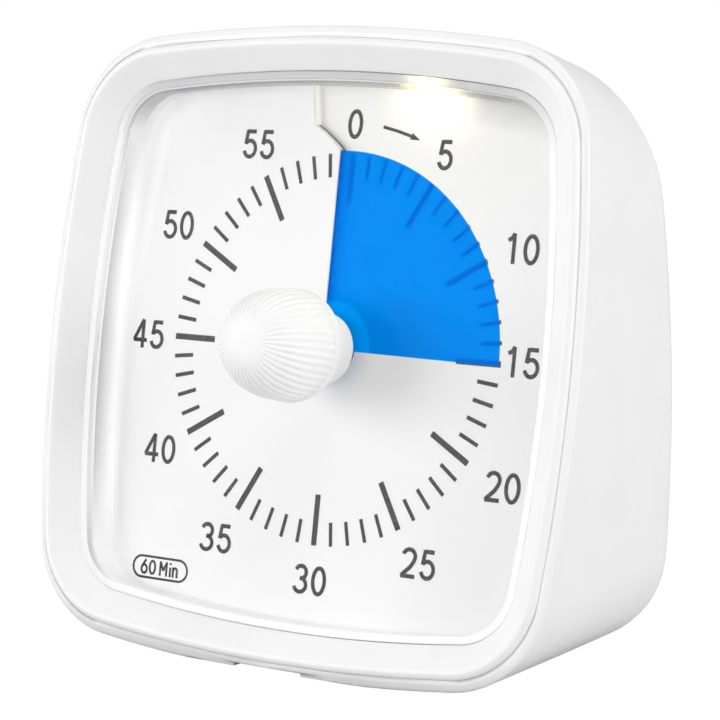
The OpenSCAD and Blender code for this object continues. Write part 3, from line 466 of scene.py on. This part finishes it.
def hairline(name):  # the gap between pane and bezel, painted as shadow: dark above and below the window, paler at the sides
    finish = Finish(name)
    grain = finish.noise(finish.place(), 2.0)
    side = towards(finish, (0.0, 1.0))
    return finish.surface(finish.skin({
        "Base Color": finish.blend((side * side).ramp(*lens["gapSpan"]), lens["gapPale"],
                                   lens["gapDark"]),
        "Roughness": uneven(0.5, grain, 0.1)}))


def clearPane(name):
    finish = Finish(name)
    wave = finish.bump(finish.noise(finish.place(), 0.05, 1), 0.02, 0.5)
    gloss = finish.add("ShaderNodeBsdfGlossy", {}, {
        "Color": (1, 1, 1), "Roughness": lens["polish"], "Normal": wave})
    rim = finish.add("ShaderNodeFresnel", {}, {"IOR": lens["ior"], "Normal": wave})
    return finish.surface(finish.mixed(rim, finish.clear(), gloss))


def acrylicEdge(name, aim, low, high, shade, least, most):
    # the polished edge of the pane, which shows more on the side that aim points to, where the
    # given colour is painted on as shade, and for the line as a highlight; the night light's glow
    # in it is painted light
    finish = Finish(name)
    cloud = finish.noise(finish.place(), 0.3)
    side = towards(finish, aim).ramp(low, high)
    glow = glowNear(finish, night["onRim"], night["rimReach"])
    skin = finish.skin({
        "Base Color": finish.blend(side, lens["edgePale"], shade),
        "Roughness": uneven(0.2, cloud, 0.1),
        "Emission Color": finish.blend(glow ** 3, black, night["warm"]),
        "Emission Strength": night["power"]})
    return finish.surface(finish.mixed(side * (most - least) + least, finish.clear(), skin))


clearAcrylic = clearPane("clearAcrylic")
rimAcrylic = acrylicEdge("rimAcrylic", *lens["rimLook"])
filletAcrylic = acrylicEdge("filletAcrylic", *lens["filletLook"])
lineAcrylic = acrylicEdge("lineAcrylic", *lens["lineLook"])
edgeShade = hairline("edgeShade")


def windowRing(grow, height):  # the window's outline, moved outwards
    return faceRing(height, bezel["winWide"] + grow, bezel["winTall"] + grow,
                    bezel["winCrown"], bezel["winCorner"] + grow)


def makeLens():
    bm = bmesh.new()
    top = bezel["paneTop"]
    low = top - lens["pane"]
    hole = lens["hole"]
    outer = -lens["gap"]
    inner = outer - lens["rim"]
    rimTop, chamfer, steps = lens["rimTop"], lens["chamfer"], lens["filletSteps"]
    turn = [math.atan2(p.y - faceMiddle, p.x) for p in windowRing(inner, 0)]
    holeTop = [Vector((hole * math.cos(a), hole * math.sin(a), top)) for a in turn]
    holeLow = [Vector((p.x, p.y, low)) for p in holeTop]
    row = startRing(bm, holeLow)
    pane, rim, fillet, shade, line = range(5)  # clear, rim, its fillet, side at the bezel painted as shadow in the gap, line painted as a highlight
    chain = [(holeTop, pane), (windowRing(inner - lens["fillet"], top), pane)]
    for k in range(1, steps + 1):
        t = math.pi / 2 * k / steps
        ring = windowRing(inner - lens["fillet"] * (1 - math.sin(t)),
                          top + (rimTop - chamfer - top) * (1 - math.cos(t)))
        chain.append((ring, line if k > steps - lens["brightSteps"] else fillet))
    chain += [(windowRing(inner + chamfer, rimTop), rim),
              (windowRing(outer - chamfer, rimTop), rim),
              (windowRing(outer, rimTop - chamfer), rim), (windowRing(outer, top), shade),
              (windowRing(lens["flange"], top), shade), (windowRing(lens["flange"], low), shade),
              (holeLow, pane)]
    for ring, finish in chain:
        row = extrudeOn(bm, row, ring, finish=finish)
    bmesh.ops.remove_doubles(bm, verts=bm.verts, dist=sameSpot)
    materials = [clearAcrylic, rimAcrylic, filletAcrylic, edgeShade, lineAcrylic]
    piece = finishPiece(bm, "clearLens", materials, stands=["clear_lens"],
                        sharp=40)
    piece.visible_shadow = False
    piece.visible_diffuse = False


makeLens()
print("lens done")

tray = {  # each span says where a painted light or shade starts and where it is full, on the face's X, Y or Z
    "height": (2.5, 6.8), "left": (-44, -46), "top": (36, 41), "edge": (6.84, 6.88),
    "dark": (3.2, 3.9), "leftShade": 0.5, "topShade": 0.42, "topMore": 0.25,
    "leftLit": 0.6, "edgeLit": 0.7, "lit": (0.1, 0.1, 0.1),
    "plain": (0.95, 0.95, 0.95), "shade": (0.3, 0.3, 0.31),
}


def trayWhite(name):
    # painted light and shade: the left wall is painted lit at the dial and along its edge, and
    # painted shaded between; the top wall is painted dark towards the window, but for the painted
    # glow of the night light
    finish = Finish(name)
    cloud = finish.noise(finish.place(), 0.3)
    x, y, z = faceSpot(finish, 0, 0)
    height = z.ramp(*tray["height"])
    left = x.ramp(*tray["left"])
    top = y.ramp(*tray["top"])
    edge = z.ramp(*tray["edge"]) * (1 - top) * left
    dark = top * z.ramp(*tray["dark"])
    leftShade = height * left * tray["leftShade"] * (1 - top)
    shade = (leftShade + dark * (height * tray["topMore"] + tray["topShade"])) * (1 - edge)
    bright = left * (1 - height) * (1 - dark) * tray["leftLit"] + edge * tray["edgeLit"]
    lit = finish.blend(bright, black, tray["lit"])
    glow = glowNear(finish, night["onWall"], night["wallReach"])
    return finish.surface(finish.skin({
        "Base Color": finish.blend(shade, tray["plain"], tray["shade"]),
        "Roughness": uneven(0.5, cloud, 0.1),
        "Emission Color": finish.blend(glow ** 3, lit, night["warm"]),
        "Emission Strength": night["power"]}))


smoothCopy("dial_tray", "dialTray", trayWhite("trayWhite"), sharp=30)

dial = {
    "pitch": 1.9, "thick": 0.4, "steps": 240, "hole": 4.4, "edge": -1.37, "edgeRadius": 47,
    "slitX": 1.7, "slitTurn": 34.65, "slitOuterX": 7.5, "slitOuter": 39.5, "slitLean": 0.14,
    "riser": 0.3, "riserDark": 0.6,
}


def slitAngle(radius):  # clockwise from 12 o'clock, in radians
    if radius <= dial["slitTurn"]:
        return -math.asin(dial["slitX"] / radius)
    if radius >= dial["slitOuter"]:
        beyond = (radius - dial["slitOuter"]) * dial["slitLean"]
        return -math.asin((dial["slitOuterX"] + beyond) / radius)
    near = -math.asin(dial["slitX"] / dial["slitTurn"])
    far = -math.asin(dial["slitOuterX"] / dial["slitOuter"])
    return lerp(near, far, (radius - dial["slitTurn"]) / (dial["slitOuter"] - dial["slitTurn"]))


def dialHeight(x, y):  # the dial's surface, which climbs once round from the slit
    radius = max(math.hypot(x, y), dial["slitX"] + 0.01)
    turn = (math.atan2(x, y) - slitAngle(radius)) % (2 * math.pi)
    return dial["pitch"] * turn / (2 * math.pi)


def clock(radius, turn, height=0.0):  # a point of the dial, clockwise from 12 o'clock
    return Vector((radius * math.sin(turn), radius * math.cos(turn), height))


def reachOfWindow(grow, turn):  # how far the tray's opening lies from the dial's axis
    ring = windowRing(grow, 0)
    aim = Vector((math.sin(turn), math.cos(turn)))
    side = Vector((aim.y, -aim.x))
    for a, b in zip(ring, ring[1:] + ring[:1]):
        da, db = a.xy.dot(side), b.xy.dot(side)
        if da * db <= 0 and a.xy.dot(aim) > 0 and da != db:
            return lerp(a.xy, b.xy, da / (da - db)).length
    return 0.0


paperLook = {  # each span says where a painted light or shade starts and where it is full
    "soft": (0.7, -0.7),
    "wedgeX": 44.5, "wedgeUp": (0, 40), "wedgeLean": 5.6, "wedge": 0.45,
    "footX": 36.6, "footY": 44.3, "footLean": 0.052, "footEnd": (4, -8), "foot": 0.2,
    "upperY": (28, 45), "upperX": (-27, -43), "upper": 1.5,
    "lowerY": (-32, -44), "lowerX": (-32, -42), "sideX": (-40, -46.5), "side": 0.5,
    "underLean": 0.11, "underY": (41.5, 48.5), "underX": (17, 26), "under": 0.62,
    "rightLean": 0.25, "rightX": (25, 45), "right": 0.14,
    "plain": (0.93, 0.93, 0.935), "plainToo": (0.945, 0.945, 0.945), "shade": (0.3, 0.3, 0.3),
    "lit": (0.08, 0.08, 0.08),
    "step": (0.93, 0.92, 0.86), "stepGlow": (0.24, 0.23, 0.18), "stepGlowToo": (0.26, 0.25, 0.2),
}


def dialPaper(name):
    # painted light, as the window gathers it, brightens the left side, its corners and a strip at
    # the foot; painted shade under the top wall darkens the upper right, and more painted shade
    # darkens the right side; the night light's glow is painted too
    look = paperLook
    finish = Finish(name)
    spot = finish.place()
    fibre = finish.noise(spot, 3.0, 4, 0.6)
    cloud = finish.noise(spot, 0.05)
    x, y = faceSpot(finish, 0, 0)[:2]
    wedge = (x + look["wedgeX"] - y.ramp(*look["wedgeUp"]) * look["wedgeLean"]).ramp(*look["soft"])
    foot = (y + look["footY"] + (x + look["footX"]) * look["footLean"]).ramp(*look["soft"])
    foot = foot * x.ramp(*look["footEnd"])
    corner = (y.ramp(*look["upperY"]) * x.ramp(*look["upperX"]) * look["upper"]
              + y.ramp(*look["lowerY"]) * x.ramp(*look["lowerX"]))
    bright = (wedge * look["wedge"] + foot * look["foot"]
              + (x.ramp(*look["sideX"]) + corner) * look["side"])
    under = (y + x * look["underLean"]).ramp(*look["underY"]) * x.ramp(*look["underX"])
    right = (x - y * look["rightLean"]).ramp(*look["rightX"])
    glow = glowNear(finish, night["onDial"], night["dialReach"])
    halo = glowNear(finish, night["onDial"], night["haloReach"])
    plain = finish.blend(cloud.ramp(0.4, 0.6), look["plain"], look["plainToo"])
    lit = finish.blend(bright, black, look["lit"])
    return finish.surface(finish.skin({
        "Base Color": finish.blend(under * look["under"] + right * look["right"], plain,
                                   look["shade"]),
        "Roughness": uneven(0.6, fibre, 0.1), "Normal": finish.bump(fibre, 0.02, 0.02),
        "Emission Color": finish.blend(glow ** 4 + halo * night["halo"], lit, night["warm"]),
        "Emission Strength": night["power"]}))


def litPaper(name):  # the step in the dial, with a warm tint and a glow painted as the night light shining through
    look = paperLook
    finish = Finish(name)
    fibre = finish.noise(finish.place(), 3.0, 4, 0.6)
    return finish.surface(finish.skin({
        "Base Color": look["step"], "Roughness": uneven(0.6, fibre, 0.1),
        "Emission Color": finish.blend(fibre, look["stepGlow"], look["stepGlowToo"]),
        "Emission Strength": 1.0}))


paper = dialPaper("dialPaper")
stepPaper = litPaper("stepPaper")


def makeDial():
    bm = bmesh.new()
    radii = [dial["hole"], 8, 12, 20, 27, dial["slitTurn"], 36, 38, dial["slitOuter"], 43]
    edgeTurn = slitAngle(dial["edgeRadius"])

    def column(share):
        turn = 2 * math.pi * share
        points = [clock(r, slitAngle(r) + turn, dial["pitch"] * share) for r in radii]
        edge = edgeTurn + turn
        return points + [clock(reachOfWindow(dial["edge"], edge), edge, dial["pitch"] * share)]

    points = column(0)
    row = startRow(bm, points)
    for i in range(1, dial["steps"] + 1):
        row = extrudeOn(bm, row, column(i / dial["steps"]), closed=False)
    faceUp(bm)
    made = bmesh.ops.extrude_face_region(bm, geom=bm.faces[:])["geom"]
    for vert in [item for item in made if isinstance(item, bmesh.types.BMVert)]:
        vert.co.z -= dial["thick"]
    # beyond the film's reach a riser closes the step; its lower part is painted near black as
    # shadow in the slit, and its upper part carries the painted glow of the step
    beyond = points[radii.index(dial["slitTurn"]):]
    faces = set(bm.faces)
    row = startRow(bm, [p - Vector((0, 0, dial["thick"] / 2)) for p in beyond])
    for height in (dial["riserDark"], dial["pitch"] - dial["thick"]):
        row = extrudeOn(bm, row, [Vector((v.co.x, v.co.y, height)) for v in row], closed=False)
    made = bmesh.ops.extrude_face_region(bm, geom=[f for f in bm.faces if f not in faces])["geom"]
    for vert in [item for item in made if isinstance(item, bmesh.types.BMVert)]:
        vert.co.x -= dial["riser"]
    plain, lit, dark = range(3)
    for face in bm.faces:
        middle = face.calc_center_median()
        if face in faces:
            face.material_index = plain
        elif middle.xy.length > dial["slitOuter"]:
            face.material_index = lit
        elif middle.z < dial["riserDark"]:
            face.material_index = dark
    finishPiece(bm, "dialPlate", [paper, stepPaper, seamShade], stands=["dial_plate"],
                sharp=30)


makeDial()
print("dial done")

scale = {
    "outer": 33.9, "shortInner": 29.8, "longInner": 25.1, "shortWide": 0.7, "longWide": 1.08,
    "lift": 0.03, "digitTall": 5.1, "stroke": 0.73, "advance": 3.75, "mitre": 0.6,
    "spots": {"0": (-0.1, 39.2), "5": (18.95, 34.4), "10": (35.8, 19.3), "15": (37.9, 0.6),
              "20": (36.6, -20.2), "25": (21.6, -34.6), "30": (-0.1, -39.9), "35": (-21.0, -34.9),
              "40": (-35.15, -20.4), "45": (-40.1, -0.1), "50": (-35.5, 19.9), "55": (-19.2, 34.9)},
    "arrow": [(5.79, 38.85), (11.7, 37.4), (13.63, 36.75)], "arrowBow": (0.03, 0.08),
    "arrowLine": 0.55, "arrowHead": 0.62,
    "pill": (-32.7, -41.75), "pillWide": 12.6, "pillTall": 4.2, "pillLine": 0.42,
    "pillSigns": (-3.6, -1.75, 0.75, 2.3, 3.4), "pillDigit": 2.6, "pillStroke": 0.46,
}


def ink(name, colour):
    finish = Finish(name)
    speck = finish.noise(finish.place(), 6.0)
    darker, lighter = [tuple(c * share for c in colour) for share in (0.8, 1.2)]
    return finish.surface(finish.skin({
        "Base Color": finish.blend(speck, darker, lighter),
        "Roughness": uneven(0.45, speck, 0.1)}))


scaleInk = ink("scaleInk", (0.022, 0.02, 0.02))


def arcPath(cx, cy, rx, ry, start, end, steps=18):
    turns = [math.radians(lerp(start, end, i / steps)) for i in range(steps + 1)]
    return [(cx + rx * math.cos(turn), cy + ry * math.sin(turn)) for turn in turns]


# strokes of each sign, in heights of a digit, along the middle of the line
strokes = {
    "0": [arcPath(0, 0, 0.235, 0.44, 90, 450, 40)],
    "1": [[(-0.17, 0.27), (-0.02, 0.34), (0.06, 0.5)], [(0.06, 0.5), (0.06, -0.5)]],
    "2": [arcPath(0, 0.22, 0.235, 0.225, 165, -10, 20)
          + [(0.2, 0.08), (0.08, -0.12), (-0.27, -0.44)],
          [(-0.29, -0.44), (0.27, -0.44)]],
    "3": [arcPath(-0.01, 0.225, 0.215, 0.215, 160, -70, 20) + [(-0.04, 0.03)],
          [(-0.04, 0.03)] + arcPath(-0.02, -0.205, 0.245, 0.235, 70, -165, 22)],
    "4": [[(0.3, -0.22), (-0.29, -0.22)], [(-0.27, -0.22), (0.11, 0.5)],
          [(0.11, 0.5), (0.11, -0.5)]],
    "5": [[(0.23, 0.44), (-0.13, 0.44)], [(-0.12, 0.49), (-0.19, 0.0)],
          [(-0.19, 0.02)] + arcPath(0.0, -0.16, 0.24, 0.28, 125, -165, 24)],
    "6": [[(0.13, 0.5), (-0.06, 0.24), (-0.2, -0.02)],
          arcPath(0, -0.16, 0.235, 0.285, 90, 450, 36)],
    "M": [[(-0.27, -0.5), (-0.27, 0.5)], [(-0.27, 0.46), (0.0, -0.12)],
          [(0.0, -0.12), (0.27, 0.46)], [(0.27, 0.5), (0.27, -0.5)]],
    "i": [[(0, -0.5), (0, 0.16)], [(0, 0.34), (0, 0.48)]],
    "n": [[(-0.17, -0.5), (-0.17, 0.2)],
          [(-0.17, -0.1)] + arcPath(0.0, -0.06, 0.17, 0.21, 150, 0, 12) + [(0.17, -0.5)]],
}


def drawRibbon(bm, path, wide):  # a flat printed line with square ends
    def sides(i):
        before, after = Vector(path[max(i - 1, 0)]), Vector(path[min(i + 1, len(path) - 1)])
        along = (after - before).normalized()
        across = Vector((-along.y, along.x)) * wide / 2
        here = Vector(path[i])
        if 0 < i < len(path) - 1:
            bend = (here - before).normalized().dot(along)
            across /= max(bend, scale["mitre"])
        return [(here + across).to_3d(), (here - across).to_3d()]

    row = startRow(bm, sides(0))
    for i in range(1, len(path)):
        row = extrudeOn(bm, row, sides(i), closed=False)


def drawSign(bm, sign, spot, tall, stroke):
    for path in strokes[sign]:
        drawRibbon(bm, [(spot[0] + x * tall, spot[1] + y * tall) for x, y in path], stroke)


def drawNumber(bm, text, spot, tall, stroke, advance):
    left = spot[0] - advance * (len(text) - 1) / 2
    for i, sign in enumerate(text):
        drawSign(bm, sign, (left + i * advance, spot[1]), tall, stroke)


def makeScale():
    bm = bmesh.new()
    for minute in range(60):
        turn = math.radians(6 * minute)
        long = minute % 5 == 0
        inner = scale["longInner"] if long else scale["shortInner"]
        path = [clock(lerp(inner, scale["outer"], k / 3), turn).xy for k in range(4)]
        drawRibbon(bm, path, scale["longWide"] if long else scale["shortWide"])
    for text, spot in scale["spots"].items():
        drawNumber(bm, text, spot, scale["digitTall"], scale["stroke"], scale["advance"])
    # arrow from 0 towards 5
    start, neck, tip = [Vector(p) for p in scale["arrow"]]
    bow = lerp(start, neck, 0.5) + Vector(scale["arrowBow"])
    drawRibbon(bm, [start, bow, neck], scale["arrowLine"])
    along = (tip - neck).normalized()
    across = Vector((-along.y, along.x)) * scale["arrowHead"]
    bm.faces.new([bm.verts.new(p.to_3d()) for p in (neck + across, neck - across, tip)])
    # the round-ended frame and its words
    pill = Vector(scale["pill"])
    reach = (scale["pillWide"] - scale["pillTall"]) / 2
    radius = scale["pillTall"] / 2 - scale["pillLine"] / 2
    path = (arcPath(pill.x + reach, pill.y, radius, radius, -90, 90, 14)
            + arcPath(pill.x - reach, pill.y, radius, radius, 90, 270, 14)
            + [(pill.x + reach, pill.y - radius)])
    drawRibbon(bm, path, scale["pillLine"])
    for sign, x in zip("60Min", scale["pillSigns"]):
        drawSign(bm, sign, (pill.x + x, pill.y), scale["pillDigit"], scale["pillStroke"])
    for vert in bm.verts:
        vert.co.z = dialHeight(vert.co.x, vert.co.y) + scale["lift"]
    faceUp(bm)
    finishPiece(bm, "dialScale", [scaleInk], recalc=False)


makeScale()
print("scale done")

film = {
    "inner": 3.92, "outer": 34.4, "thick": 0.2, "gap": 1.27, "setTurn": 90.6, "steps": 180,
    "tone": (0.0, 0.2, 0.97), "toneToo": (0.0, 0.21, 0.99),
    "cover": 0.73, "through": (0.0, 0.5, 0.95),
    "halo": 8.7, "haloSoft": 0.6, "haloShare": 0.9,  # the paler round of film about the spindle, which also glows with painted light against the knob's shadow
    "haloTone": (0.0, 0.3, 1.0), "haloGlow": (0.0, 0.04, 0.16),
}


def blueFilm(name):
    finish = Finish(name)
    streak = finish.noise(finish.place(), 0.12)
    tone = finish.blend(streak.ramp(0.35, 0.65), film["tone"], film["toneToo"])
    near = 1 - radiusFromAxis(finish).ramp(film["halo"] - film["haloSoft"], film["halo"])
    skin = finish.skin({
        "Base Color": finish.blend(near * film["haloShare"], tone, film["haloTone"]),
        "Roughness": 0.4, "Specular IOR Level": 0.0,
        "Emission Color": finish.blend(near, black, film["haloGlow"]), "Emission Strength": 1.0})
    return finish.surface(finish.mixed(film["cover"], finish.clear(film["through"]), skin))


filmBlue = blueFilm("filmBlue")


def makeFilm():
    bm = bmesh.new()

    def column(i):
        turn = math.radians(film["setTurn"] - 360 + 360 * i / film["steps"])
        height = film["gap"] + dial["pitch"] * turn / (2 * math.pi) + film["thick"]
        return [clock(r, turn, height) for r in (film["inner"], film["halo"], 20, film["outer"])]

    row = startRow(bm, column(0))
    for i in range(1, film["steps"] + 1):
        row = extrudeOn(bm, row, column(i), closed=False)
    piece = finishPiece(bm, "timeFilm", [filmBlue], body="film", stands=["time_disc"],
                        recalc=False)
    piece.visible_shadow = False
    piece.visible_diffuse = False
    piece.visible_glossy = False


makeFilm()
print("film done")

knob = {
    "base": 12.1, "length": 14.39, "radius": 9.7, "round": 2.9, "band": 1.5, "step": 0.15,
    "flutes": 44, "fluteDepth": 0.24, "fluteSharp": 1.5, "fluteEase": 0.3,
    "dome": 2.6, "fade": 4.2,  # radius of the smooth nose, and over what width the flutes deepen
    "rows": 42, "rowEase": 0.8, "segments": 528, "socket": 8.0, "bore": 6.24, "weld": 1e-4,
}
knobWhite = plastic("knobWhite", (0.95, 0.95, 0.95), 0.5, grain=0.02, grainSize=9)


def knobProfile():  # radius and height, from the foot of the plain band to the nose
    base, wide, band = knob["base"], knob["radius"], knob["band"]
    side = [(wide - 0.3, base), (wide - 0.09, base + 0.08), (wide, base + 0.3),
            (wide, base + band - 0.1), (wide - 0.03, base + band)]
    power = 2 / knob["round"]
    first = math.asin(((band + knob["step"]) / knob["length"]) ** (1 / power))
    for k in range(knob["rows"] + 1):
        w = lerp(first, math.pi / 2, (k / knob["rows"]) ** knob["rowEase"])
        side.append(((wide - knob["step"]) * max(math.cos(w), 0) ** power,
                     base + knob["length"] * math.sin(w) ** power))
    return side


def easeStep(value, low, high):
    t = min(max((value - low) / (high - low), 0), 1)
    return t * t * (3 - 2 * t)


def makeKnob():
    bm = bmesh.new()
    row = startRow(bm, [(r, 0, h) for r, h in knobProfile()])
    bmesh.ops.spin(bm, geom=row + bm.edges[:], axis=(0, 0, 1), cent=(0, 0, 0), angle=2 * math.pi,
                   steps=knob["segments"], use_merge=True)
    bmesh.ops.remove_doubles(bm, verts=bm.verts, dist=knob["weld"])
    foot = knob["base"] + knob["band"]
    for vert in bm.verts:
        radius = math.hypot(vert.co.x, vert.co.y)
        wave = 0.5 - 0.5 * math.cos(math.atan2(vert.co.y, vert.co.x) * knob["flutes"])
        cut = (knob["fluteDepth"] * wave ** knob["fluteSharp"]
               * easeStep(vert.co.z, foot, foot + knob["fluteEase"])
               * easeStep(radius, knob["dome"], knob["dome"] + knob["fade"]))
        shrink = 1 - cut / knob["radius"]
        vert.co.x *= shrink
        vert.co.y *= shrink
        vert.co.z = knob["base"] + (vert.co.z - knob["base"]) * (1 - cut / knob["length"])
    rim = [v for v in bm.verts if abs(v.co.z - knob["base"]) < knob["weld"]]
    ring = sorted(rim, key=lambda v: math.atan2(v.co.y, v.co.x))
    low = Vector((0, 0, knob["base"]))
    hole = [v.co.xy.normalized().to_3d() * knob["bore"] + low for v in ring]
    ring = extrudeOn(bm, ring, hole)
    ring = extrudeOn(bm, ring, [p + Vector((0, 0, knob["socket"])) for p in hole])
    edges = [bm.edges.get(pair) for pair in zip(ring, ring[1:] + ring[:1])]
    bmesh.ops.contextual_create(bm, geom=ring + edges)
    finishPiece(bm, "settingKnob", [knobWhite], body="knob", stands=["knob"],
                sharp=50)


makeKnob()
smoothCopy("knob_hub", "knobHub", knobWhite, body="knob")
print("knob done")

frosted = {  # the night light's window where it is lit, and outside the glow
    "lit": (1.0, 0.9, 0.66), "litToo": (1.0, 0.94, 0.76), "litSpan": (0.02, 0.3),
    "dark": (0.33, 0.32, 0.28),
}


def warmWindow(name):
    finish = Finish(name)
    frost = finish.noise(finish.place(), 4.0)
    glow = glowNear(finish, night["onWall"], night["wallReach"], night["windowTall"])
    lit = finish.blend(frost, frosted["lit"], frosted["litToo"])
    return finish.surface(finish.skin({
        "Base Color": finish.blend(glow.ramp(*frosted["litSpan"]), frosted["dark"], lit),
        "Roughness": 0.5, "Emission Color": finish.blend(glow ** 2, black, night["warm"]),
        "Emission Strength": night["power"]}))


smoothCopy("night_light_window", "nightLight", warmWindow("warmWindow"),
           bevel=0.1)

# controls, door, screws and the pieces inside
steel = metal("brightSteel", (0.7, 0.7, 0.72), 0.32)
brass = metal("stampedBrass", (0.75, 0.58, 0.25), 0.35)
nickel = metal("nickelPlate", (0.72, 0.71, 0.68), 0.22)
magnet = metal("darkMagnet", (0.2, 0.2, 0.22), 0.5)
acetal = plastic("acetal", (0.85, 0.82, 0.72), 0.45)
caseGrey = plastic("caseGrey", (0.72, 0.72, 0.73), 0.5)
blackPlastic = plastic("blackPlastic", (0.03, 0.03, 0.03), 0.45)
boardGreen = plastic("boardGreen", (0.03, 0.2, 0.07), 0.35, spread=0.1)
copper = metal("copperWire", (0.7, 0.3, 0.15), 0.3, lines=30)
hubBlue = plastic("hubBlue", (0.02, 0.22, 0.8), 0.4)
cellSkin = plastic("cellSkin", (0.1, 0.1, 0.11), 0.3, coat=0.3)

controls = [  # CAD node, piece, finish, slot, body, width of the eased edges
    ("battery_door", "batteryDoor", whiteShell, "white_shell", "battery_door", 0.12),
    ("light_button", "lightButton", whiteMatte, "white_matte", "light_button", 0.3),
    ("volume_slider", "volumeSlider", whiteMatte, "white_matte", "volume_slider", 0.12),
    ("case_screws", "caseScrews", steel, "steel", "housing", 0.0),
    ("battery_cell_a", "cellA", cellSkin, "cell_skin", "housing", 0.4),
    ("battery_cell_b", "cellB", cellSkin, "cell_skin", "housing", 0.4),
]
for node, name, finish, slot, body, bevel in controls:
    smoothCopy(node, name, finish, body=body, bevel=bevel)

inside = {
    "disc_boss": hubBlue, "spindle": steel, "clutch_washer": steel, "spindle_clip": steel,
    "alarm_cam": acetal, "alarm_leaf": brass, "movement_front": caseGrey,
    "movement_rear": caseGrey, "centre_wheel": brass, "third_wheel": acetal,
    "second_wheel": acetal, "rotor": magnet, "stator": steel, "coil": copper,
    "movement_screws": steel, "led_board": boardGreen, "circuit_board": boardGreen,
    "board_screws": steel, "buzzer": blackPlastic, "volume_switch": nickel,
    "light_switch": blackPlastic, "contact_springs": nickel, "contact_plates": nickel,
}
for node, finish in inside.items():
    mesh = frame["nodes"][node].data
    for i in range(len(mesh.materials)):
        mesh.materials[i] = finish
    if not mesh.materials:
        mesh.materials.append(finish)
print("inner pieces done")

studio = {
    "floor": (0.74, 0.74, 0.74), "floorSize": 3.0, "shine": 0.9, "glow": 1.08, "ambient": 0.588,
    "lampAim": (0, 0, 0.05),
    "lamps": [  # name, where it stands, size, watts
        ("leftLamp", (-1.3, -0.6, 0.25), 0.8, 2.5),
        ("frontLamp", (-0.8, -1.2, 0.35), 0.8, 6.6),
        ("rightLamp", (1.4, -0.1, 0.38), 0.8, 6.8),
        ("topLamp", (0.45, -0.35, 1.4), 0.8, 2.7),
    ],
    "camera": (0.267787, -0.391927, 0.112304), "aim": (0.003648, -0.009727, 0.050958),
    "lens": 135.655,
}


def makeFloor():
    bm = bmesh.new()
    bmesh.ops.create_grid(bm, x_segments=1, y_segments=1, size=studio["floorSize"])
    mesh = bpy.data.meshes.new("floor")
    bm.to_mesh(mesh)
    bm.free()
    floor = bpy.data.objects.new("floor", mesh)
    bpy.context.scene.collection.objects.link(floor)
    finish = Finish("floorWhite")
    seen = finish.add("ShaderNodeLightPath")
    lit = finish.add("ShaderNodeBsdfDiffuse", {}, {"Color": studio["floor"]})
    glow = finish.add("ShaderNodeEmission", {}, {"Color": (1, 1, 1), "Strength": studio["glow"]})
    mesh.materials.append(finish.surface(finish.mixed(seen * studio["shine"], lit, glow)))


def makeSky():  # plain white to the camera, and a weaker light from all sides
    world = bpy.data.worlds.new("studio")
    bpy.context.scene.world = world
    world.use_nodes = True
    sky = Finish("studio", world.node_tree)
    seen = sky.add("ShaderNodeLightPath")
    back = sky.add("ShaderNodeBackground", {}, {"Color": (1, 1, 1), "Strength": 1.0})
    fill = sky.add("ShaderNodeBackground", {}, {"Color": (1, 1, 1), "Strength": studio["ambient"]})
    out = sky.tree.nodes.new("ShaderNodeOutputWorld")
    sky.tree.links.new(sky.mixed(seen, fill, back).socket, out.inputs["Surface"])


def addLamp(name, spot, size, watts):
    lamp = bpy.data.lights.new(name, "AREA")
    lamp.shape = "DISK"
    lamp.size = size
    lamp.energy = watts
    light = bpy.data.objects.new(name, lamp)
    light.location = spot
    aim = Vector(studio["lampAim"]) - Vector(spot)
    light.rotation_euler = aim.to_track_quat("-Z", "Y").to_euler()
    bpy.context.scene.collection.objects.link(light)


makeFloor()
makeSky()
for lampLook in studio["lamps"]:
    addLamp(*lampLook)

camera = bpy.data.objects.new("camera", bpy.data.cameras.new("camera"))
camera.data.lens = studio["lens"]
camera.data.sensor_width = 36
camera.data.clip_start = 0.01
camera.location = studio["camera"]
looking = Vector(studio["aim"]) - Vector(studio["camera"])
camera.rotation_euler = looking.to_track_quat("-Z", "Y").to_euler()
bpy.context.scene.collection.objects.link(camera)
bpy.context.scene.camera = camera
bpy.context.scene.view_settings.view_transform = "Standard"

print("stage done")
